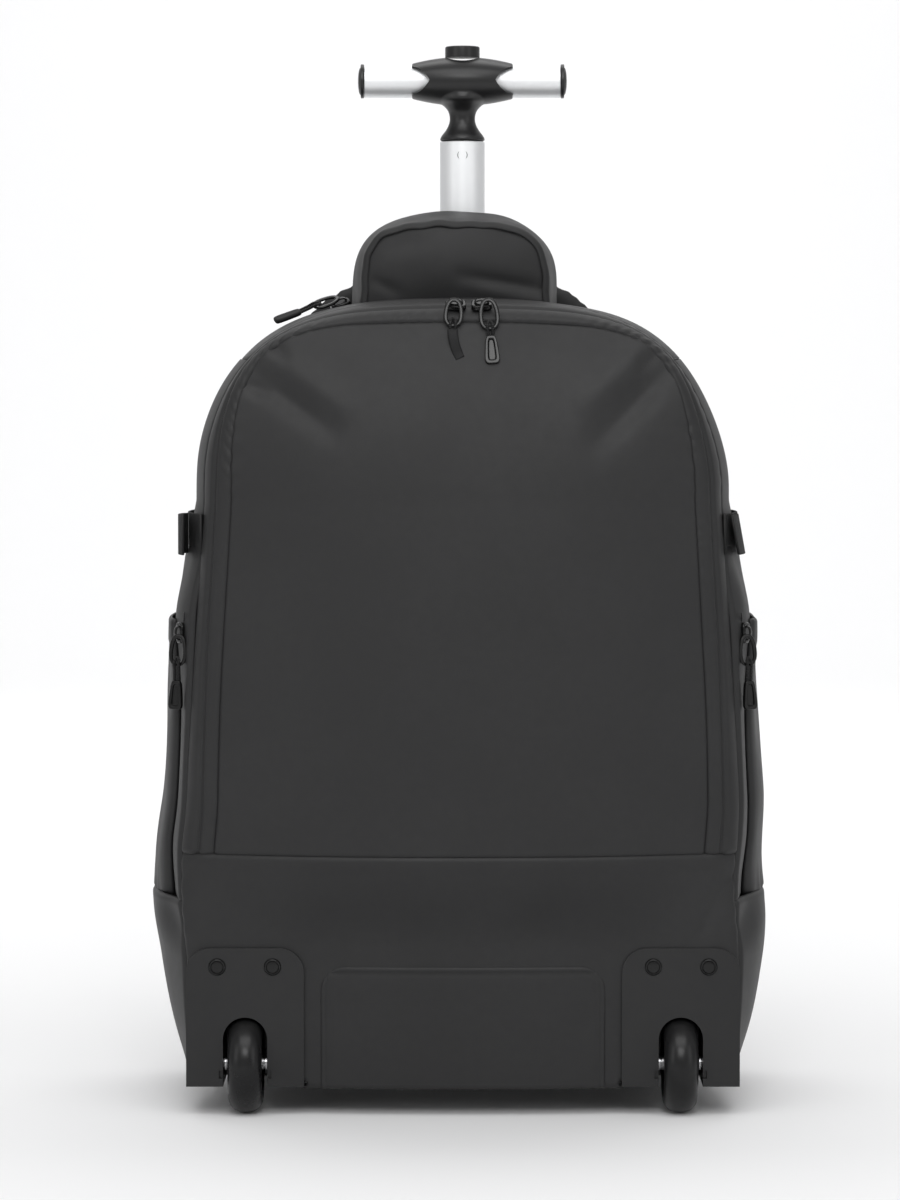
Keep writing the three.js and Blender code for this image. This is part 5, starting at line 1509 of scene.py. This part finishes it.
def build_wheels():
    for name, side in SIDES:
        body = f"wheel_{name}"
        low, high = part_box(f"tyre_{name}")
        centre = solid_middle(f"tyre_{name}")
        radius = (high.z - low.z) / 2
        half = (high.x - low.x) / 2
        crown = 0.0085
        seat = half * 0.82
        bore = radius - 0.0105
        tread = [(radius - crown * (1 - math.cos(a)) ** 1.1, half * math.sin(a))
                 for a in np.linspace(-RIGHT_ANGLE, RIGHT_ANGLE, 33)]
        turned(f"tyre_{name}_finished", [(bore, -seat)] + tread + [(bore, seat)], centre, (1, 0, 0), TREAD,
               [f"tyre_{name}"], body, True, 96)
        low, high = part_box(f"wheel_core_{name}")
        rim = (high.z - low.z) / 2
        hub = (high.x - low.x) / 2
        edge = 0.0004
        web = 0.003
        half_profile = [(rim, hub * 0.9), (rim - edge, hub * 0.93), (rim - 0.0024, hub * 0.93),
                        (rim - 0.0028, hub * 0.88), (rim - 0.0042, web), (0.0084, web), (0.0076, hub - edge),
                        (0.0072, hub), (0.0036, hub)]
        core = [(r, -a) for r, a in half_profile[::-1]] + half_profile
        turned(f"wheel_core_{name}_finished", core, centre, (1, 0, 0), PLASTIC, [f"wheel_core_{name}"],
               body, True)
        build_axle(name, centre)


def build_axle(name, centre):
    """The axle with a two-part spacer on each side of its wheel."""
    low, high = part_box(f"axle_{name}")
    tip = (high.x - low.x) / 2
    collar = (high.z - low.z) / 2
    shaft = 0.003
    start = 0.0093
    end = 0.0132
    split = (start + end) / 2
    edge = 0.0003
    half_profile = [
        (shaft, start), (collar - edge, start), (collar, start + edge), (collar, split - edge),
        (collar - 0.0007, split), (collar - 0.0007, split + edge), (collar, split + 2 * edge), (collar,
                                                                                                end - edge),
        (collar - edge, end), (shaft, end), (shaft, tip - edge), (shaft - edge, tip), (0, tip)]
    profile = [(r, -a) for r, a in half_profile[::-1]] + half_profile
    turned(f"axle_{name}_finished", profile, centre, (1, 0, 0), STEEL, [f"axle_{name}"], "bag", segments=48)


def build_rivets():
    """Flat heads with a sunk ring."""
    for name, _ in SIDES:
        for place in ("outer", "inner"):
            node = f"rivet_{name}_{place}"
            low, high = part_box(node)
            centre = solid_middle(node)
            radius = (high.x - low.x) / 2
            depth = high.y - low.y
            profile = [(0, depth), (radius, depth), (radius, 0.0006), (radius - 0.0003, 0.0002),
                       (radius - 0.0007, 0),
                       (radius - 0.0011, 0.0001), (radius - 0.0013, 0.0004), (radius - 0.0015, 0.0001),
                       (radius * 0.5, 0), (0, 0)]
            turned(f"{node}_finished", profile, (centre.x, low.y, centre.z), (0, 1, 0), BLACK_METAL, [node],
                   segments=48)


def build_guards_and_feet():
    for name, _ in SIDES:
        bevelled_copy(f"wheel_guard_{name}", PLASTIC, 1.3)
        bevelled_copy(f"rear_foot_{name}", RUBBER, 1.2, segments=3)


build_tubes()
build_end_caps()
build_button()
build_hub()
build_screw()
build_collar()
build_wheels()
build_rivets()
build_guards_and_feet()


# Zips, their sliders and pulls

def surface_line(curve, stations, share):
    """A line along a swept surface, and its directions out of it."""
    line = curve(stations, share)
    across = curve(stations, share + 0.02) - curve(stations, share - 0.02)
    outward = unit(np.cross(across, np.gradient(line, axis=0)))
    return line, outward * np.sign(np.sum(outward * (line - BAG_MIDDLE), axis=-1, keepdims=True))


def over(line):
    """The right half of a line and its mirror image, in one run."""
    return np.concatenate([line, mirrored(line[-2::-1])])


def build_zip(name, line, outward, replaces=(), lift=0.0, tape=True):
    """Two rows of coil with a gap between them, on their tape."""
    tangent = unit(np.gradient(line, axis=0))
    sideways = unit(np.cross(tangent, outward))
    if tape:
        band_piece(f"{name}_tape", line + outward * (lift - 0.7), outward,
                   rounded_section(ZIP_WIDTH, 0.7, 0.3),
                   ZIP_TAPE, replaces)
    rows = [(line + sideways * offset + outward * lift, outward) for offset in (-1.0, 1.0)]
    row_piece(f"{name}_teeth", rows, PLASTIC, TOOTH_PITCH, 0.85, 1.7, 1.0)


def build_front_zip():
    stations = outline_stations(station_of(BELT + 1), 1, 2)
    line, outward = surface_line(band_curve, stations, ZIP_PLACE)
    build_zip("front_zip", over(line), over(outward), ["front_zip"], lift=-0.15)


def side_zip_line(side, low, high, count=70):
    z = np.linspace(low, high, count)
    half = gusset_half(z, SIDE_ZIP_Y - 3)
    ahead = gusset_half(z, SIDE_ZIP_Y) - gusset_half(z, SIDE_ZIP_Y - 6)
    outward = unit(at(side * 6.0, -ahead, 0))
    return at(side * half, SIDE_ZIP_Y - 3, z), outward


def build_side_zips():
    """Closed below the slider, with the two rows parted above it."""
    for name, side in SIDES:
        line, outward = side_zip_line(side, CORNER_SEAM + 2, SIDE_SLIDER_Z - 3)
        build_zip(f"side_zip_{name}", line, outward, [f"side_zip_{name}"], lift=1.0)
        line, outward = side_zip_line(side, SIDE_SLIDER_Z + 3, POCKET_TOP + 6, 24)
        parted = at(0, 7 * np.linspace(0.15, 1, 24) ** 1.4, 0)
        rows = [(line + parted * way + outward * 1.2, outward) for way in (-1, 1)]
        row_piece(f"side_zip_{name}_open", rows, PLASTIC, TOOTH_PITCH, 0.95, 1.7, 1.1)


def build_hood_zip():
    """The coil on the rear edge of the hood's band."""
    angles = 1 - np.linspace(1, 0, 120) ** 2
    line = hood_outline(angles * RIGHT_ANGLE, 1.0)
    middle = np.array([0, HOOD_FRONT + HOOD_REACH, HOOD_FOOT])
    line = over(line + unit(line - middle) * 0.3) + [HOOD_LEAN, 0.4 - HOOD_LAP, 0]
    outward = unit((line - middle - [HOOD_LEAN, 0, 0]) * [1, 0, 1] + [0, 0.001, 0])
    row_piece("hood_zip_teeth", [(line, outward)], PLASTIC, TOOTH_PITCH, 0.95, 1.6, 1.2)


def local_frame(origin, down, outward):
    """Turns distances across, down and outward into the bag's millimetres."""
    down = unit(np.array(down, float))
    outward = np.array(outward, float)
    outward = unit(outward - down * (outward @ down))
    axes = np.stack([np.cross(outward, down), down, outward])
    return lambda points: np.asarray(points, float) @ axes + np.array(origin, float)


def soft_trapezoid(top_half, foot_half, start, end, square=4.5, count=32):
    """A closed outline of across and down with rounded corners."""
    angle = np.linspace(0, 2 * math.pi, count, endpoint=False)
    sideways = np.sign(np.cos(angle)) * np.abs(np.cos(angle)) ** (2 / square)
    share = (np.sign(np.sin(angle)) * np.abs(np.sin(angle)) ** (2 / square) + 1) / 2
    return np.stack([sideways * lerp(top_half, foot_half, share), lerp(start, end, share)], axis=-1)


def plate(name, outline, low, high, place, finish, replaces=(), edge=0.4, sunk=None):
    """A flat outline with a thickness and broken edges. sunk holds the share of a recess in its face, and the
    level of the recess's floor."""
    levels = [(outline, low), (outline, high)]
    if sunk:
        share, floor = sunk
        middle = (outline.max(axis=0) + outline.min(axis=0)) / 2
        recess = middle + (outline - middle) * share
        levels += [(recess, high), (recess, floor)]
    count = len(outline)
    rings = [np.column_stack([flat, np.full(count, level)]) for flat, level in levels]
    index = np.arange(count * len(rings)).reshape(len(rings), count)
    faces = [list(index[0][::-1]), list(index[-1])]
    for ring_index, next_index in zip(index[:-1], index[1:]):
        faces += [[ring_index[i], ring_index[(i + 1) % count], next_index[(i + 1) % count], next_index[i]]
                  for i in range(count)]
    points = placed(slumped(place(np.concatenate(rings))))
    piece = tidied(new_piece(name, points, faces, finish, replaces), 50)
    bevel = piece.modifiers.new("edges", "BEVEL")
    bevel.width = edge * MM
    bevel.segments = 3
    bevel.limit_method = "ANGLE"
    bevel.angle_limit = math.radians(50)
    return piece


def build_slider(name, place):
    """A shield with two shoulders, and the bridge that holds its pull."""
    down = np.array((-6.4, -5.7, -3.6, 0, 3.4, 5.6, 6.3))
    half = np.array((2.4, 4.1, 4.8, 4.5, 3.7, 3.2, 2.2))
    right = np.stack([half, down], axis=-1)
    outline = np.concatenate([right, right[::-1] * [-1, 1]])
    plate(f"{name}_body", outline, -1.5, 1.9, place, BLACK_METAL, [name], 0.8)
    angle = np.linspace(0, math.pi, 18)
    arch = at(0, -4.2 * np.cos(angle), 1.4 + 2.6 * np.sin(angle) ** 0.7)
    band_piece(f"{name}_bridge", place(arch), place((0, 0, 4)) - place(arch * [0, 1, 0] * 0.2),
               rounded_section(3.0, 1.1, 0.5), BLACK_METAL)


def build_ring(name, place, half_width, length):
    """The pull's flat ring: wide straps at its sides that close in a thin arc."""
    angle = np.linspace(0, 2 * math.pi, 56, endpoint=False)
    sideways = np.sign(np.cos(angle)) * np.abs(np.cos(angle)) ** 0.8
    lengthwise = np.sign(np.sin(angle)) * np.abs(np.sin(angle)) ** 0.85
    narrow = lerp(0.78, 1, (lengthwise + 1) / 2)
    line = at(sideways * (half_width - RING_BAR / 2) * narrow,
              length / 2 + lengthwise * (length / 2 - RING_BAR / 2) - 1.5, 0)
    sizes = lerp(1.15, 0.72, np.clip(lengthwise, 0, 1) ** 3)
    outward = place((0, 0, 1)) - place((0, 0, 0))
    band_piece(f"{name}_ring", place(line), outward, rounded_section(RING_BAR, 1.5, 0.6), BLACK_METAL, [name],
               closed=True, sizes=sizes)


def build_cord(name, place, ring_end, tab_start):
    """A cord looped round the foot of the ring, both ends in the tab."""
    loop = [(-1.3, tab_start + 1.5, 0), (-1.5, ring_end + 1, 1.0), (-1.6, ring_end - 1.5, 1.5),
            (-1.2, ring_end - 4.2, 0.9), (0, ring_end - 5.6, 0.5), (1.2, ring_end - 4.2, 0.9),
            (1.6, ring_end - 1.5, 1.5), (1.5, ring_end + 1, 1.0), (1.3, tab_start + 1.5, 0)]
    line = smooth_line(loop, 44)
    outward = place((0, 0, 1)) - place((0, 0, 0))
    band_piece(f"{name}_cord", place(line), outward, round_section(0.95), WEBBING)


def build_pull(name, eye, hang, outward, roll, half_width, ring_length, cord_length, tab):
    """A ring, its cord and a tab. roll turns the pull about its outward direction, in degrees."""
    hang = unit(np.array(hang, float))
    outward = unit(np.array(outward, float))
    turn = math.radians(roll)
    hang = hang * math.cos(turn) + np.cross(outward, hang) * math.sin(turn)
    place = local_frame(eye, hang, outward)
    build_ring(name, place, half_width, ring_length)
    ring_end = ring_length - 1.5
    tab_start = ring_end + cord_length
    build_cord(name, place, ring_end, tab_start)
    if tab == "ribbon":
        share = np.linspace(0, 1, 30)
        line = at(5.5 * share ** 1.8, tab_start + TAB_LENGTH * share, 0.9 * np.sin(share * 5))
        band_piece(f"{name}_tab", place(line), place((0, 0, 1)) - place((0, 0, 0)),
                   rounded_section(6.2, 2.4, 1.1), RUBBER)
    elif tab == "bar":
        outline = soft_trapezoid(3.0, 3.4, tab_start, tab_start + TAB_LENGTH)
        plate(f"{name}_tab", outline, -1.5, 1.5, place, RUBBER, edge=1.0)
    else:
        outline = soft_trapezoid(3.3, 5.0, tab_start, tab_start + TAB_LENGTH)
        plate(f"{name}_tab", outline, -1.5, 1.5, place, BLACK_METAL, edge=0.6, sunk=((0.5, 0.74), 0.2))


def build_sliders_and_pulls():
    for name, x, roll, half_width, ring_length, cord, tab in (
            ("front_a", -4.5, -3, 6.4, 18.5, 1.5, "ribbon"), ("front_b", 11.5, 4, 6.8, 20.5, 3.5, "frame")):
        seat = (x, FRONT_SLIDER_Y, FRONT_SLIDER_Z)
        build_slider(f"zip_slider_{name}", local_frame(seat, (1 if x > 0 else -1, 0, 0), (0, -0.5, 0.87)))
        eye = (x - 0.8 if x < 0 else x + 3.8, FRONT_SLIDER_Y - 5, FRONT_SLIDER_Z + 3)
        build_pull(f"zip_pull_{name}", eye, (0, -0.29, -1), (0, -1, 0.29), roll, half_width, ring_length,
                   cord, tab)
    for name, side in SIDES:
        half = float(gusset_half(SIDE_SLIDER_Z, SIDE_ZIP_Y - 3))
        seat = (side * (half + 2.4), SIDE_ZIP_Y - 4, SIDE_SLIDER_Z)
        build_slider(f"zip_slider_side_{name}", local_frame(seat, (0, 0, -1), (side, -0.5, 0)))
        eye = (side * (half + 3.6), SIDE_ZIP_Y - 8, SIDE_SLIDER_Z - 2)
        build_pull(f"zip_pull_side_{name}", eye, (side * 0.05, -0.02, -1), (side * 0.45, -1, 0), 0, 6.6, 20,
                   8.5,
                   "frame")
    seat = (-76.5, 97.7, 496)
    along = (-1, -0.25, -0.36)
    build_slider("zip_slider_hood", local_frame(seat, along, (-0.25, -0.4, 1)))
    build_pull("zip_pull_hood", (-79, 95.5, 500), (-1, -0.27, -0.37), (-0.3, -0.6, 0.9), 0, 6.2, 18, 8, "bar")


def build_patch_stitches():
    angles = np.linspace(0, RIGHT_ANGLE, 14)
    reach = PATCH_CORNER - PATCH_STITCH
    corner = np.stack([PATCH_HALF - PATCH_CORNER + reach * np.cos(angles),
                       PATCH_TOP - PATCH_CORNER + reach * np.sin(angles)], axis=-1)
    right = np.concatenate([[[PATCH_HALF - PATCH_STITCH, BASE + 2]], corner, [[0, PATCH_TOP - PATCH_STITCH]]])
    right = resampled(right, np.linspace(0, 1, 90))
    line = at(right[:, 0], kick_depth(right[:, 0], right[:, 1]) - 1.0, right[:, 1])
    row_piece("patch_stitches", [(over(line), np.array([0, -1, 0]))], PLASTIC, 3.0, 2.1, 0.8, 0.9)


build_front_zip()
build_side_zips()
build_hood_zip()
build_sliders_and_pulls()
build_patch_stitches()


# Every solid has the finish of its slot
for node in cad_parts.values():
    slot = node.data.materials[0].name.split(".")[0]
    node.data.materials.clear()
    node.data.materials.append(bpy.data.materials[f"{slot}_finish"])


# Studio

def build_studio():
    """A pale floor that curves up into a backdrop."""
    half = 6.0
    rear = 5.2
    radius = 1.6
    angles = np.linspace(0, RIGHT_ANGLE, 16)
    profile = [(-5.0, 0.0)]
    profile += [(rear - radius + radius * math.sin(a), radius - radius * math.cos(a)) for a in angles]
    profile.append((rear, 6.0))
    points = [(x, y, z) for y, z in profile for x in (-half, half)]
    faces = [(2 * i, 2 * i + 1, 2 * i + 3, 2 * i + 2) for i in range(len(profile) - 1)]
    mesh = bpy.data.meshes.new("studio_sweep")
    mesh.from_pydata(points, [], faces)
    mesh.shade_smooth()
    paper = bpy.data.materials.new("studio_paper")
    paper.use_nodes = True
    shader = paper.node_tree.nodes["Principled BSDF"]
    shader.inputs["Base Color"].default_value = (0.88, 0.88, 0.885, 1)
    shader.inputs["Roughness"].default_value = 0.9
    shader.inputs["Specular IOR Level"].default_value = 0.1
    mesh.materials.append(paper)
    sweep = bpy.data.objects.new("studio_sweep", mesh)
    bpy.context.scene.collection.objects.link(sweep)


def add_softbox(name, place, target, width, height, power):
    light = bpy.data.lights.new(name, "AREA")
    light.shape = "RECTANGLE"
    light.size = width
    light.size_y = height
    light.energy = power
    lamp = bpy.data.objects.new(name, light)
    lamp.location = place
    lamp.rotation_euler = (Vector(target) - Vector(place)).to_track_quat("-Z", "Y").to_euler()
    bpy.context.scene.collection.objects.link(lamp)


def build_lights():
    world = bpy.data.worlds.new("studio")
    bpy.context.scene.world = world
    world.use_nodes = True
    background = world.node_tree.nodes["Background"]
    background.inputs["Color"].default_value = (1, 1, 1, 1)
    background.inputs["Strength"].default_value = 0.5
    middle = (0, 0, 0.35)
    add_softbox("overhead", (0, -1.6, 2.7), middle, 2.4, 1.2, 24)
    add_softbox("left", (-2.2, -2.0, 1.3), middle, 1.2, 2.0, 9)
    add_softbox("right", (2.2, -2.0, 1.2), middle, 1.2, 2.0, 8)
    add_softbox("front", (0, -3.4, 2.3), middle, 1.4, 1.0, 30)
    add_softbox("backdrop", (0, 2.6, 2.8), (0, 5.0, 0.6), 4.0, 2.0, 50)
    add_softbox("floor", (0, 1.0, 2.4), (0, 1.4, 0), 3.0, 1.2, 26)


def build_camera():
    """Where the photograph was taken from, 2.6 m in front of the bag."""
    camera = bpy.data.cameras.new("camera")
    camera.lens = 128.7
    camera.sensor_width = 36
    viewer = bpy.data.objects.new("camera", camera)
    viewer.location = (-0.0079, -2.6993, 0.45)
    viewer.rotation_euler = (math.radians(90 - 2.96), 0, 0)
    bpy.context.scene.collection.objects.link(viewer)
    bpy.context.scene.camera = viewer


build_studio()
build_lights()
build_camera()
bpy.context.scene.view_settings.view_transform = "Standard"

bpy.context.view_layer.update()
